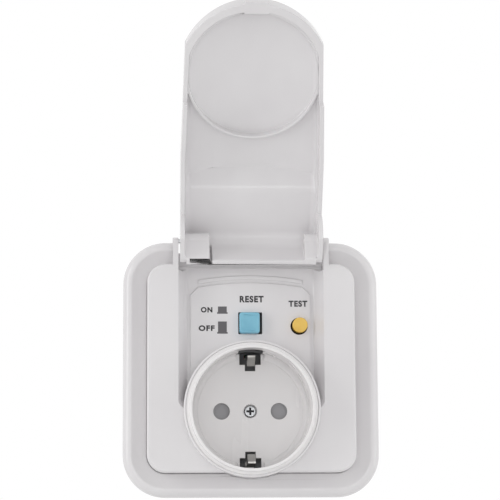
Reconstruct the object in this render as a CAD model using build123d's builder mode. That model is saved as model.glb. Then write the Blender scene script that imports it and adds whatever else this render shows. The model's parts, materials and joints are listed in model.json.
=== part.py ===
from build123d import *
import math
import os

# A flush-mounted earthed socket with a residual current device and a hinged flap.
# Millimetres. X runs to the right, Z up, and Y into the wall: the wall is the plane Y = 0.
# The origin is the centre of the support ring, on the axis of the wall box.
# "Height" below means the distance forward of the wall, so a negative height is inside the box.

# Clearances
SLACK = 0.3  # between pieces that move past each other
RUN = 0.06  # radial, round a shaft that turns
SEAT = 0.1  # between fixed mouldings that drop into each other

# Outer frame
FRAME = 84.0  # side of the square
FRAME_R = 14.0  # corner radius in plan
FRAME_RISE = 5.0  # centre of the frame above the wall box's axis
FRAME_WALL = 2.0
FOOT_IN = 0.5  # the foot stands this far in from the outline
OUTLINE_H = 3.4  # height of the widest point
CROWN_H = 6.9  # height of the rolled edge
CROWN_IN = 2.8  # how far in from the outline the roll is highest
CROWN_FALL = 1.0  # the roll has fallen by this much
CROWN_TURN = 0.27  # at this share of the way out from its top
BAND = 7.8  # outline to cover
BAND_H = 4.9  # height of the band beside the cover
BAND_SAG = 0.7  # the band hollows to this much above its edge halfway
LIP = 3.6  # the frame's lip reaches under the cover by this much
LIP_T = 1.5

# Support ring and claws
RING_SIDE = 4.5  # the ring stays this far inside the frame at its sides
RING_END = 1.0  # and this far at its lower end
RING_T = 1.5
RING_R = 8.0
RING_BORE = 26.2
RING_LOBE_R = 2.6
RING_SCREW_X = 10.5
RING_SCREW_Z = 24.0
RING_LOW_SCREW_Z = -17.6
SMALL_HEAD_R = 1.8
SMALL_HEAD_T = 1.4
CROSS_L = 1.3  # cross recess, as shares of the head's radius
CROSS_W = 0.35
SMALL_SHANK_R = 1.0
SLOT_PITCH = 60.0
SLOT_R = 1.9
SLOT_L = 6.0
CLAW_OUT = 1.8  # base housing's side to the middle of the claw's plate
CLAW_Z = -8.0
CLAW_T = 1.0
CLAW_W = 8.0
CLAW_TOP_H = -2.0
CLAW_END_H = -22.0
CLAW_PIVOT_H = -2.2
CLAW_PIVOT_R = 0.7
CLAW_FORK_H = -3.4
CLAW_SCREW_OUT = 2.5  # claw plate to its screw
CLAW_SCREW_R = 1.4
CLAW_HEAD_R = 2.0
CLAW_EAR_T = 1.4
CLAW_EAR_DEEP = 3.4
CLAW_TOOTH = 1.2

# Front cover
COVER_H = 11.0  # top of the raised plateau
COVER_WALL = 2.0
COVER_EDGE = 0.9  # rounded top edge
PANEL_H = 4.5
PANEL_T = 1.5
CHANNEL_HALF = 23.85  # half width of the recess at the plateau
CHANNEL_SLANT = 3.0  # each side leans in by this much on its way down to the panel
CHANNEL_R = 3.0
PAD_H = 0.7  # raised pad on the panel
PAD_HALF = 19.8
PAD_SHOULDER = 17.3
PAD_ARCH_DROP = 4.6  # upper end of the panel down to the pad's arched end
PAD_CORNER_DROP = 1.5
PAD_SIDE_DROP = 4.0
RIB_GAP = 1.1  # between the pad's arched end and the arched rib above it
RIB_W = 1.3
RIB_H = 0.4

# Plug well and collar
SOCKET_Z = -8.6
WELL_R = 19.4
WELL_DEPTH = 17.5
WELL_FLOOR_H = 0.0
WELL_FLOOR_T = 2.2
WELL_WALL = 1.0
WELL_LEDGE = 1.0  # the well's wall reaches this far under the edge of its floor
RIM_ROUND = 0.42  # share of the wall that each rounded edge of the rim takes
RIM_FLANGE = 1.0  # the well's flange that holds the cover's collar down
FLANGE_T = 1.2
FLANGE_DROP = 2.6  # rim down to the flange's front face
RIM_ROOT = 0.6  # hollow rounding where the rim stands on the flange
COLLAR_EDGE = 0.45  # rounded outer edge of the collar
COLLAR_WALL = 0.7
COLLAR_GAP = 0.1  # well's flange to the collar
COLLAR_H = 15.0
PIN_PITCH = 19.0
PIN_HOLE_R = 2.75
BOSS_R = 2.6
NOTCH_HALF = 3.55
NOTCH_IN = 15.4  # the notch's wide part begins this far from the socket's centre
NOTCH_TAIL_HALF = 1.75
NOTCH_TAIL_IN = 13.3
WINDOW_HALF = 4.1
WINDOW_H = 11.0
SKIRT_R = 14.5
SKIRT_T = 1.4

# Hinge and flap
HINGE_IN = 0.2  # frame's upper edge down to the hinge
HINGE_H = 9.5
OPEN_ANGLE = 146.0  # how far the flap stands open in the pose that is modelled
PIN_R = 0.7
CHEEK_T = 1.9
CHEEK_R = 1.2
CHEEK_UNDER = 7.6
CHEEK_ROOT = 10.3  # hinge down to the cheek's root
SWING_R = 9.8  # the flap's hinge end turns inside this radius
TROUGH_T = 1.2  # shell behind that recess
LID_SWING_R = 9.4
SWING_DROP = 8.6  # hinge down to the panel's upper end
LID_HALF_HINGE = 23.3
LID_HALF_END = 22.1
LID_END_R = 24.6
LID_WALL = 1.5
LID_FACE_H = 21.4  # outside of the dome over the socket
LID_PAD_H = 16.6  # outside of the flat part over the panel
LID_RIM_H = 15.3  # free edge round the collar
LID_SIDE_H = 10.6  # free edge of the side walls in the channel
LID_STEP_Z = -0.6  # the free edge steps up here
LID_PAD_END_Z = 30.5
LID_DOME_START_Z = 23.5
LID_HEEL_OUT = 4.7  # hinge to the outside of the flap's hinge end, closed
LID_HEEL_H = 1.4
LID_HEEL_R = 6.0
LID_CROWN_R = 115.0
LID_BEND_R = 6.0  # at both ends of the ramp between pad and dome
LID_FLOOR_R = 2.4  # round the floor of the hollow
BEAD_GAP = 1.0  # well's rim to the middle of the bead
BEAD_T = 0.9
BEAD_H = 16.6
LIP_GRIP_HALF = 4.0
LIP_GRIP_X = 0.5
LIP_GRIP = 0.6
LIP_GRIP_T = 1.6
TAB_X = -13.7  # inner end of the snap tab beside the left pin
BLOCK_X = 17.6  # inner end of the right pin's block
PIN_BLOCK_R = 2.6
PIN_TIP_X = 20.6
SLIT = 0.8
SLIT_UP = 11.2
SLIT_SKIN = 0.3  # left under the slit so that it bends and stays closed
TAB_SLOT_UP = 6.0
TAB_SLOT_W = 6.2
CORNER_NOTCH = 1.6
CORNER_NOTCH_W = 2.0

# Controls
RESET_X = -0.4
RESET_Z = 20.05
RESET_W = 6.7
RESET_D = 7.0
RESET_HOLE_X = -0.1
RESET_HOLE_Z = 20.1
RESET_HOLE_W = 7.9
RESET_HOLE_D = 7.3
RESET_HOLE_R = 0.3
RESET_H = 7.6
RESET_DISH = 0.4  # depth of the hollow in the cap
RESET_DISH_R = 6.5
RESET_DISH_IN = 0.9
RESET_STEM = 4.2
RESET_STEM_END = -14.0
TEST_X = 16.3
TEST_Z = 19.35
TEST_HOLE_X = 16.05
TEST_HOLE_Z = 19.1
TEST_R = 2.5
TEST_HOLE_R = 2.85
TEST_H = 7.2
TEST_EDGE = 0.35
TEST_TRAVEL = 1.2
TEST_STEM_X = 12.6
TEST_STEM_Z = 16.6
TEST_STEM_R = 1.4
TEST_STEM_END = -8.4
BUTTON_FLANGE_T = 1.1
RESET_FLANGE = 0.8
RESET_EDGE = 0.6
RESET_CORNER_R = 0.9

# Base housing
BASE_R = 27.5
BASE_HALF = 22.3
BASE_WALL = 1.8
BASE_FRONT = -5.0
BASE_PLATE_T = 1.6
BASE_BACK = -36.2
REAR_T = 1.8
REAR_SCREW_L = 7.2
POST_WALL = 1.26
SCREW_BOSS_R = 3.2
SCREW_BOSS_END = -18.0
PARTITION_Z = 7.0
PARTITION_T = 1.4
PARTITION_END = -34.0
GUIDE_T = 1.0
GUIDE_END = -22.0
GUIDE_LOW_Z = 13.0
GUIDE_TOP_Z = 23.0
POST_X = 18.6
POST_Z = 4.0
POST_R = 2.1
BUTTON_PORT = 5.0

# Pin shutter
SHUTTER_BACK = -4.7
SHUTTER_T = 2.2
SHUTTER_R = 13.8
SHUTTER_HALF_ANGLE = 20.0
SHUTTER_HUB_R = 4.2
SHUTTER_HUB_T = 1.1
SHUTTER_WIRE = 0.3
SHUTTER_TURNS = 1.2

# Circuit board and what stands on it
BOARD_FRONT = -33.0
BOARD_T = 1.6
BOARD_GAP = 0.7  # round the board, to the base housing's wall
BOARD_LOW_Z = 9.2
CAPACITOR_R = 3.0
CAPACITOR_EDGE = 0.36
CAPACITOR_TALL = 9.0
CAPACITOR_X = 12.0
CAPACITOR_Z = 18.2
VARISTOR_R = 2.6
VARISTOR_T = 1.8
VARISTOR_X = 8.7
VARISTOR_Z = 13.2
CHIP_W = 5.0
CHIP_TALL = 4.0
CHIP_T = 1.6
CHIP_X = 16.6
CHIP_Z = 12.6
RESISTOR_R = 0.55
RESISTOR_L = 3.6
RESISTOR_X = 11.9
RESISTOR_Z = 12.4
RESISTOR_PITCH = 1.3

# Trip relay, on the left of the board
RELAY_X = -13.4
RELAY_Z = 15.2
BOBBIN_R = 4.5
BOBBIN_TUBE_R = 2.4
BOBBIN_FLANGE = 0.8
BOBBIN_FRONT = -20.0
YOKE_T = 0.9
YOKE_W = 5.2
PLUNGER_R = 1.5
PLUNGER_FRONT = -15.8
PLUNGER_DISC_R = 2.2
PLUNGER_DISC_T = 0.6
LEVER_X = -8.4  # pivot
LEVER_H = -14.3
LEVER_T = 0.8
LEVER_TALL = 3.4
LEVER_ARM = 5.9
LEVER_HOOK = 2.1
LEVER_BOSS_R = 1.0
LATCH_PIN_R = 0.5
LUG_T = 1.2

# Contact carriage
CARRIAGE_HALF = 5.8
CARRIAGE_LOW_Z = 12.7
CARRIAGE_TOP_Z = 22.5
CARRIAGE_L = 5.7
CONTACT_GAP = 3.1
CONTACT_T = 0.6
OPENING_SPRING_Z = 17.0
OPENING_SPRING_R = 2.0
OPENING_TURNS = 5
LEAF_T = 0.4
LEAF_W = 3.0
LEAF_TOP_Z = 19.0
BUTTON_SPRING_R = 3.8
BUTTON_TURNS = 3.5
TEST_SPRING_R = 2.4
WIRE = 0.5
FINE_WIRE = 0.35

# Current transformer, lying with its hole upright
CT_R = 7.6
CT_BORE = 4.3
CT_TALL = 5.5
CT_WALL = 0.7
CT_WRAP = 300.0  # the winding leaves a gap that shows the core
BAR_FRONT = -27.0
BAR_T = 1.2
BAR_W = 2.4
CONTACT_W = 3.36
BAR_X = 1.9
BAR_CROSS_Z = -12.6
BAR_JOG_Z = 11.7
PAD_X = 5.0
PAD_TOP_Z = 18.5

# Contacts
SLEEVE_R = 3.4
SLEEVE_BORE = 2.45
SLEEVE_FRONT = -8.6
SLEEVE_SLIT = 0.8
RIVET_R = 1.4
RIVET_HEAD = 0.7
CARRIER_T = 1.8
CARRIER_LOW_Z = -13.5
CARRIER_HIGH_Z = -4.0
CARRIER_CUP = 3.0
LEDGE = 1.2
STRAP_W = 3.0
STRAP_T = 0.6
STRAP_H = -7.1
STRAP_ARM = 18.4
STRAP_ARM_W = 2.5
STRAP_HUMP = 3.4
STRAP_HUMP_H = 6.0
STRAP_TIP_H = 10.0
STRAP_DISC_R = 5.5
STRAP_TAIL_END = -34.0
TERMINAL_W = 7.0
TERMINAL_TALL = 6.4
TERMINAL_X = 11.2
TERMINAL_GAP = 0.47  # outer corner of a terminal to the wall
EARTH_IN = 7.9  # outside of the base housing to the earth wire
TERMINAL_BACK = -35.9
WIRE_R = 1.7
CLAMP_R = 1.4
CLAMP_HEAD_R = 1.9
BARRIER_T = 1.2
SCREW_R = 1.5
SCREW_HEAD_R = 1.95
SCREW_RING = 0.35  # gap round the head in its recess
SCREW_CROWN = 0.45  # rounded edge of the head
SCREW_RECESS = 0.8
SCREW_HEAD_T = 1.1
SCREW_L = 14.6

# Sizes and places that follow from the ones above
RING_W = FRAME - 2 * (FOOT_IN + FRAME_WALL + RING_SIDE)
RING_TALL = FRAME - 2 * (FOOT_IN + FRAME_WALL + FRAME_RISE + RING_END)
RING_LOW_SCREW_X = math.sqrt((WELL_R + WELL_WALL + SMALL_HEAD_R + SLACK) ** 2
                             - (SOCKET_Z - RING_LOW_SCREW_Z) ** 2)
HINGE_Z = FRAME_RISE + FRAME / 2 - HINGE_IN
CHEEK_ROOT_Z = HINGE_Z - CHEEK_ROOT
SWING_Z = HINGE_Z - SWING_DROP
LID_HEEL_Z = HINGE_Z + LID_HEEL_OUT
PAD_ARCH_TOP = SWING_Z - PAD_ARCH_DROP
PAD_CORNER_TOP = PAD_ARCH_TOP - PAD_CORNER_DROP
PAD_SIDE_TOP = PAD_ARCH_TOP - PAD_SIDE_DROP
COLLAR_R = WELL_R + WELL_WALL + RIM_FLANGE + COLLAR_GAP + COLLAR_WALL
BEAD_R = WELL_R + WELL_WALL + BEAD_GAP
CLAW_X = BASE_HALF + CLAW_OUT
CLAW_SCREW_X = CLAW_X + CLAW_SCREW_OUT
BOARD_R = BASE_R - BASE_WALL - BOARD_GAP
BOARD_HALF = BASE_HALF - BASE_WALL - BOARD_GAP
TERMINAL_Z = TERMINAL_TALL / 2 - math.sqrt((BASE_R - BASE_WALL - TERMINAL_GAP) ** 2
                                           - (TERMINAL_X + TERMINAL_W / 2) ** 2)
EARTH_Z = EARTH_IN - BASE_R


def front(height):
    """The plane that faces out of the wall at a given height, with X and Z as its axes."""
    return Plane.XZ.offset(height)


def level(z):
    """A level plane. Its own axes are X and Y, and Y is minus the height."""
    return Plane.XY.offset(z)


def side(x):
    """An upright plane across the device, with Z and the height as its axes."""
    return Plane(origin=(x, 0, 0), x_dir=(0, 0, 1), z_dir=(1, 0, 0))


def coil(label, centre, direction, radius, height, turns, wire):
    """A compression spring of square wire, from its first end along the direction."""
    with BuildPart() as spring:
        with BuildLine() as centre_line:
            Helix(pitch=height / turns, height=height, radius=radius, center=centre, direction=direction)
        with BuildSketch(Plane(origin=centre_line.line @ 0, z_dir=centre_line.line % 0)):
            Rectangle(wire, wire)
        sweep(path=centre_line.line, is_frenet=True)
    spring.part.label = label
    return spring.part


def write(part):
    export_step(part, f"parts/{part.label}.step")


def screw(label, places, axis_down, head_r, head_t, shank_r, shank_l, recess=0.0, crown=0.0):
    """Screws with their heads' outer faces at the given points, pointing along axis_down."""
    with BuildPart() as group:
        for place in places:
            seat = Plane(origin=place, z_dir=axis_down)
            with BuildSketch(seat):
                Circle(head_r)
            extrude(amount=head_t)
            with BuildSketch(seat.offset(head_t)):
                Circle(shank_r)
            extrude(amount=shank_l)
            if crown:
                fillet(group.edges().filter_by(GeomType.CIRCLE).group_by(Axis.Y)[0], crown)
            if recess:
                with BuildSketch(seat):
                    Rectangle(head_r * CROSS_L, head_r * CROSS_W)
                    Rectangle(head_r * CROSS_W, head_r * CROSS_L)
                extrude(amount=recess, mode=Mode.SUBTRACT)
    group.part.label = label
    return group.part


os.makedirs("parts", exist_ok=True)
frame_half = FRAME / 2
cover_w = FRAME - 2 * BAND - 2 * SEAT
cover_r = FRAME_R - BAND - SEAT
frame_top = FRAME_RISE + frame_half

# Outer frame: one rolled section swept round the rounded square.
with BuildPart() as outer_frame:
    with BuildLine(Plane(origin=(0, 0, FRAME_RISE), x_dir=(1, 0, 0), z_dir=(0, -1, 0))) as frame_path:
        Polyline((frame_half, 0), (frame_half, frame_half), (-frame_half, frame_half),
                 (-frame_half, -frame_half), (frame_half, -frame_half), (frame_half, 0))
        fillet(frame_path.vertices().filter_by(lambda v: abs(v.Z - FRAME_RISE) > 1), FRAME_R)
    section_plane = Plane(origin=(frame_half, 0, FRAME_RISE), x_dir=(-1, 0, 0), z_dir=(0, 0, 1))
    with BuildSketch(section_plane):
        with BuildLine():
            Line((FOOT_IN, 0), (0, OUTLINE_H))
            ThreePointArc((0, OUTLINE_H), (CROWN_IN * CROWN_TURN, CROWN_H - CROWN_FALL), (CROWN_IN, CROWN_H))
            ThreePointArc((CROWN_IN, CROWN_H), ((CROWN_IN + BAND) / 2, BAND_H + BAND_SAG), (BAND, BAND_H))
            Polyline((BAND, BAND_H), (BAND, RING_T + LIP_T), (BAND + LIP, RING_T + LIP_T),
                     (BAND + LIP, RING_T), (BAND - FRAME_WALL, RING_T + FRAME_WALL / 2),
                     (CROWN_IN + CROWN_FALL, CROWN_H - FRAME_WALL), (CROWN_IN, CROWN_H - FRAME_WALL),
                     (FOOT_IN + FRAME_WALL, OUTLINE_H), (FOOT_IN + FRAME_WALL, 0), (FOOT_IN, 0))
        make_face()
    sweep(path=frame_path.line)
    # Recess for the flap's hinge end, with a shell behind it that closes it off from the wall.
    with BuildSketch(side(0)):
        with Locations((HINGE_Z, HINGE_H)):
            Circle(SWING_R + TROUGH_T)
        with Locations((frame_top - BAND, 0)):
            Rectangle(BAND - FOOT_IN, BAND_H, align=(Align.MIN, Align.MIN), mode=Mode.INTERSECT)
    extrude(amount=CHANNEL_HALF + TROUGH_T, both=True)
    with BuildSketch(side(0)):
        with Locations((HINGE_Z, HINGE_H)):
            Circle(SWING_R)
    extrude(amount=CHANNEL_HALF, both=True, mode=Mode.SUBTRACT)
    with BuildSketch(front(0)):
        with Locations((0, SOCKET_Z)):
            Circle(WELL_R + WELL_WALL + SEAT)
    extrude(amount=COVER_H, mode=Mode.SUBTRACT)
    with BuildSketch(front(BAND_H)):
        with Locations((0, SOCKET_Z)):
            Circle(COLLAR_R + SEAT)
    extrude(amount=COVER_H, mode=Mode.SUBTRACT)
outer_frame.part.label = "outer_frame"

# Front cover: plateau, sunken panel, collar and hinge cheeks in one moulding.
cover_foot = RING_T + LIP_T
collar_seat = WELL_FLOOR_H + WELL_DEPTH - FLANGE_DROP - FLANGE_T
cheek_x = CHANNEL_HALF + CHEEK_T / 2
with BuildPart() as front_cover:
    with BuildSketch(front(cover_foot)):
        with Locations((0, FRAME_RISE)):
            RectangleRounded(cover_w, cover_w, cover_r)
    extrude(amount=COVER_H - cover_foot)
    fillet(front_cover.faces().sort_by(Axis.Y)[0].edges(), COVER_EDGE)
    with BuildSketch(front(cover_foot)):
        with Locations((0, FRAME_RISE)):
            RectangleRounded(cover_w - 2 * COVER_WALL, cover_w - 2 * COVER_WALL, cover_r - COVER_WALL)
    extrude(amount=COVER_H - COVER_WALL - cover_foot, mode=Mode.SUBTRACT)
    # Trough under the channel, with the panel as its floor.
    with BuildSketch(front(PANEL_H - PANEL_T)):
        with Locations((0, (SWING_Z + SOCKET_Z - CHANNEL_R) / 2)):
            Rectangle(2 * (CHANNEL_HALF + PANEL_T), SWING_Z - SOCKET_Z + CHANNEL_R)
    extrude(amount=COVER_H - COVER_WALL - PANEL_H + PANEL_T)
    # Channel: the sides lean in towards the panel and end in a soft ledge beside the collar.
    with BuildSketch(front(PANEL_H)) as channel_floor:
        with Locations((0, frame_top)):
            Rectangle(2 * (CHANNEL_HALF - CHANNEL_SLANT), 2 * (frame_top - SOCKET_Z - CHANNEL_SLANT))
        fillet(channel_floor.vertices(), CHANNEL_R)
    with BuildSketch(front(COVER_H)) as channel_mouth:
        with Locations((0, frame_top)):
            Rectangle(2 * CHANNEL_HALF, 2 * (frame_top - SOCKET_Z))
        fillet(channel_mouth.vertices(), CHANNEL_R)
    loft(mode=Mode.SUBTRACT)
    # Raised pad with an arched end, and the rib that follows its arch.
    with BuildSketch(front(PANEL_H - PANEL_T / 2)):
        with BuildLine():
            pad_low = SOCKET_Z + CHANNEL_R
            Polyline((-PAD_SHOULDER, PAD_CORNER_TOP), (-PAD_HALF, PAD_SIDE_TOP), (-PAD_HALF, pad_low),
                     (PAD_HALF, pad_low), (PAD_HALF, PAD_SIDE_TOP), (PAD_SHOULDER, PAD_CORNER_TOP))
            ThreePointArc((PAD_SHOULDER, PAD_CORNER_TOP), (0, PAD_ARCH_TOP), (-PAD_SHOULDER, PAD_CORNER_TOP))
        make_face()
    extrude(amount=PANEL_T / 2 + PAD_H)
    with BuildSketch(front(PANEL_H - PANEL_T / 2)):
        with BuildLine():
            rib_low = PAD_CORNER_TOP + RIB_GAP
            rib_mid = PAD_ARCH_TOP + RIB_GAP
            ThreePointArc((PAD_SHOULDER, rib_low), (0, rib_mid), (-PAD_SHOULDER, rib_low))
            Line((-PAD_SHOULDER, rib_low), (-PAD_SHOULDER, rib_low + RIB_W))
            ThreePointArc((-PAD_SHOULDER, rib_low + RIB_W), (0, rib_mid + RIB_W),
                          (PAD_SHOULDER, rib_low + RIB_W))
            Line((PAD_SHOULDER, rib_low + RIB_W), (PAD_SHOULDER, rib_low))
        make_face()
    extrude(amount=PANEL_T / 2 + RIB_H)
    # Collar: outside the plateau it starts above the frame's band.
    with BuildSketch(front(cover_foot)):
        with Locations((0, SOCKET_Z)):
            Circle(COLLAR_R)
        with Locations((0, FRAME_RISE)):
            RectangleRounded(cover_w, cover_w, cover_r, mode=Mode.INTERSECT)
    extrude(amount=COVER_H - cover_foot)
    with BuildSketch(front(BAND_H + 2 * SEAT)):
        with Locations((0, SOCKET_Z)):
            Circle(COLLAR_R)
    extrude(amount=COLLAR_H - BAND_H - 2 * SEAT)
    fillet(front_cover.edges().filter_by(GeomType.CIRCLE).group_by(Axis.Y)[0], COLLAR_EDGE)
    with BuildSketch(front(0)):
        with Locations((0, SOCKET_Z)):
            Circle(WELL_R + WELL_WALL + SEAT)
    extrude(amount=COLLAR_H, mode=Mode.SUBTRACT)
    with BuildSketch(front(collar_seat)):
        with Locations((0, SOCKET_Z)):
            Circle(COLLAR_R - COLLAR_WALL)
    extrude(amount=COLLAR_H, mode=Mode.SUBTRACT)
    # Holes for the buttons.
    with BuildSketch(front(0)):
        with Locations((RESET_HOLE_X, RESET_HOLE_Z)):
            RectangleRounded(RESET_HOLE_W, RESET_HOLE_D, RESET_HOLE_R)
        with Locations((TEST_HOLE_X, TEST_HOLE_Z)):
            Circle(TEST_HOLE_R)
    extrude(amount=COVER_H, mode=Mode.SUBTRACT)
    # Recess that the flap's hinge end swings in.
    with BuildSketch(side(0)):
        with Locations((HINGE_Z, HINGE_H)):
            Circle(SWING_R)
    extrude(amount=CHANNEL_HALF, both=True, mode=Mode.SUBTRACT)
    # Hinge cheeks on both sides of the recess.
    for cheek_side in (-1, 1):
        with BuildSketch(side(cheek_side * cheek_x)):
            with BuildLine():
                Polyline((HINGE_Z, CHEEK_UNDER), (CHEEK_ROOT_Z, CHEEK_UNDER), (CHEEK_ROOT_Z, COVER_H),
                         (HINGE_Z, HINGE_H + CHEEK_R))
                ThreePointArc((HINGE_Z, HINGE_H + CHEEK_R), (HINGE_Z + CHEEK_R, HINGE_H),
                              (HINGE_Z, CHEEK_UNDER))
            make_face()
        extrude(amount=CHEEK_T / 2, both=True)
    with BuildSketch(side(0)):
        with Locations((HINGE_Z, HINGE_H)):
            Circle(PIN_R)
    extrude(amount=frame_half, both=True, mode=Mode.SUBTRACT)
front_cover.part.label = "front_cover"

# Socket well: its floor carries the pin holes, the earth notches and the shutter's chamber behind.
rim_h = WELL_FLOOR_H + WELL_DEPTH
well_back = WELL_FLOOR_H - WELL_FLOOR_T
ledge_h = WELL_FLOOR_H - WELL_FLOOR_T / 2
notch_middle = (NOTCH_IN + WELL_R) / 2
tail_middle = (NOTCH_TAIL_IN + WELL_R) / 2
with BuildPart() as socket_well:
    with BuildSketch(front(ledge_h)):
        with Locations((0, SOCKET_Z)):
            Circle(WELL_R - SEAT)
    extrude(amount=WELL_FLOOR_H - ledge_h)
    with BuildSketch(front(well_back)):
        with Locations((0, SOCKET_Z)):
            Circle(WELL_R - WELL_LEDGE - SEAT)
    extrude(amount=ledge_h - well_back)
    with BuildSketch(front(BASE_FRONT)):
        with Locations((0, SOCKET_Z)):
            Circle(SKIRT_R + SKIRT_T)
            Circle(SKIRT_R, mode=Mode.SUBTRACT)
            Circle(BOSS_R)
    extrude(amount=well_back - BASE_FRONT)
    with BuildSketch(front(BASE_FRONT)):
        for notch_side in (-1, 1):
            with Locations((0, SOCKET_Z + notch_side * notch_middle)):
                Rectangle(2 * NOTCH_HALF, WELL_R - NOTCH_IN)
            with Locations((0, SOCKET_Z + notch_side * tail_middle)):
                Rectangle(2 * NOTCH_TAIL_HALF, WELL_R - NOTCH_TAIL_IN)
        with Locations((-PIN_PITCH / 2, SOCKET_Z), (PIN_PITCH / 2, SOCKET_Z)):
            Circle(PIN_HOLE_R)
    extrude(amount=WELL_FLOOR_H - BASE_FRONT, mode=Mode.SUBTRACT)
    with BuildSketch(front(BASE_FRONT)):
        with Locations((0, SOCKET_Z)):
            Circle(SCREW_R + SEAT)
    extrude(amount=WELL_FLOOR_H - BASE_FRONT, mode=Mode.SUBTRACT)
    with BuildSketch(front(WELL_FLOOR_H - SCREW_HEAD_T)):
        with Locations((0, SOCKET_Z)):
            Circle(SCREW_HEAD_R + SCREW_RING)
    extrude(amount=SCREW_HEAD_T, mode=Mode.SUBTRACT)
socket_well.part.label = "socket_well"

# Wall of the well: rim, flange over the cover's collar and a ledge that the floor pulls down.
with BuildPart() as well_ring:
    with BuildSketch(side(0)) as ring_section:
        with BuildLine():
            Polyline((SOCKET_Z + WELL_R - WELL_LEDGE, well_back), (SOCKET_Z + WELL_R - WELL_LEDGE, ledge_h),
                     (SOCKET_Z + WELL_R, ledge_h), (SOCKET_Z + WELL_R, rim_h),
                     (SOCKET_Z + WELL_R + WELL_WALL, rim_h),
                     (SOCKET_Z + WELL_R + WELL_WALL, collar_seat + FLANGE_T),
                     (SOCKET_Z + WELL_R + WELL_WALL + RIM_FLANGE, collar_seat + FLANGE_T),
                     (SOCKET_Z + WELL_R + WELL_WALL + RIM_FLANGE, collar_seat),
                     (SOCKET_Z + WELL_R + WELL_WALL, collar_seat),
                     (SOCKET_Z + WELL_R + WELL_WALL, well_back),
                     (SOCKET_Z + WELL_R - WELL_LEDGE, well_back))
        make_face()
    revolve(axis=Axis((0, 0, SOCKET_Z), (0, 1, 0)))
    rim_edges = well_ring.edges().filter_by(GeomType.CIRCLE).group_by(Axis.Y)[0]
    fillet(rim_edges, WELL_WALL * RIM_ROUND)
    flange_edges = well_ring.edges().filter_by(GeomType.CIRCLE).filter_by(
        lambda edge: abs(edge.center().Y + collar_seat + FLANGE_T) < SEAT)
    fillet(flange_edges.sort_by(SortBy.RADIUS)[0], RIM_ROOT)
    with BuildSketch(front(well_back)):
        with Locations((0, SOCKET_Z + notch_middle), (0, SOCKET_Z - notch_middle)):
            Rectangle(2 * NOTCH_HALF, WELL_R - NOTCH_IN)
    extrude(amount=WELL_FLOOR_T, mode=Mode.SUBTRACT)
    with BuildSketch(front(well_back)):
        with Locations((0, SOCKET_Z)):
            Rectangle(2 * WINDOW_HALF, FRAME)
            Circle(WELL_R - SEAT, mode=Mode.SUBTRACT)
    extrude(amount=WINDOW_H - well_back, mode=Mode.SUBTRACT)
well_ring.part.label = "well_ring"

cover_screw = screw("cover_screw", [(0, -WELL_FLOOR_H, SOCKET_Z)], (0, 1, 0), SCREW_HEAD_R, SCREW_HEAD_T,
                    SCREW_R, SCREW_L, SCREW_RECESS, SCREW_CROWN)

# Flap: drawn closed in its own planes, which are turned open about the hinge.
open_angle = math.radians(OPEN_ANGLE)
lid_front = Plane(origin=(0, -HINGE_H, HINGE_Z), x_dir=(1, 0, 0),
                  z_dir=(0, -math.cos(open_angle), math.sin(open_angle)))
lid_side = Plane(origin=lid_front.origin, x_dir=lid_front.y_dir, z_dir=(1, 0, 0))


def lid_z(z):
    """A closed flap's Z in the flap's own planes."""
    return z - HINGE_Z


def lid_h(height):
    """A closed flap's height in the flap's own planes."""
    return height - HINGE_H


def lid_plan(inset):
    """The flap's outline seen from the front, drawn in from the outside by the inset."""
    end_r = LID_END_R - inset
    half_end = LID_HALF_END - inset
    half_hinge = LID_HALF_HINGE - inset
    corner_z = lid_z(SOCKET_Z) - math.sqrt(end_r ** 2 - half_end ** 2)
    waist_z = lid_z(SOCKET_Z) + LID_END_R + CHANNEL_R
    heel_z = lid_z(LID_HEEL_Z) - inset
    with BuildLine() as outline:
        Polyline((-half_end, corner_z), (-half_hinge, waist_z), (-half_hinge, heel_z),
                 (half_hinge, heel_z), (half_hinge, waist_z), (half_end, corner_z))
        ThreePointArc((half_end, corner_z), (0, lid_z(SOCKET_Z) - end_r), (-half_end, corner_z))
    make_face(outline.edges())


def lid_profile(inset, low):
    """The flap's side view: dome over the socket, ramp, flat pad and rounded heel."""
    far_z = lid_z(SOCKET_Z - LID_END_R) - LID_WALL
    dome = lid_h(LID_FACE_H) - inset
    pad = lid_h(LID_PAD_H) - inset
    heel = lid_z(LID_HEEL_Z) - inset
    roll = LID_HEEL_R - inset
    roll_off = roll * (1 - math.sqrt(0.5))
    with BuildLine() as outline:
        FilletPolyline((heel - roll, pad), (lid_z(LID_PAD_END_Z), pad), (lid_z(LID_DOME_START_Z), dome),
                       (far_z, dome), radius=LID_BEND_R)
        Polyline((far_z, dome), (far_z, low), (heel, low), (heel, pad - roll))
        ThreePointArc((heel, pad - roll), (heel - roll_off, pad - roll_off), (heel - roll, pad))
    make_face(outline.edges())


ROOF_FACING = 0.5  # faces of the hollow that look out of the flap
lid_low = lid_h(LID_HEEL_H)
lid_crown = Plane(origin=lid_front.origin, x_dir=(1, 0, 0), z_dir=-lid_front.y_dir)
crown_centre = lid_h(LID_FACE_H) - LID_CROWN_R
bead_out = BEAD_R + BEAD_T / 2
boss_out = LID_HALF_HINGE - LID_WALL / 2

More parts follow.
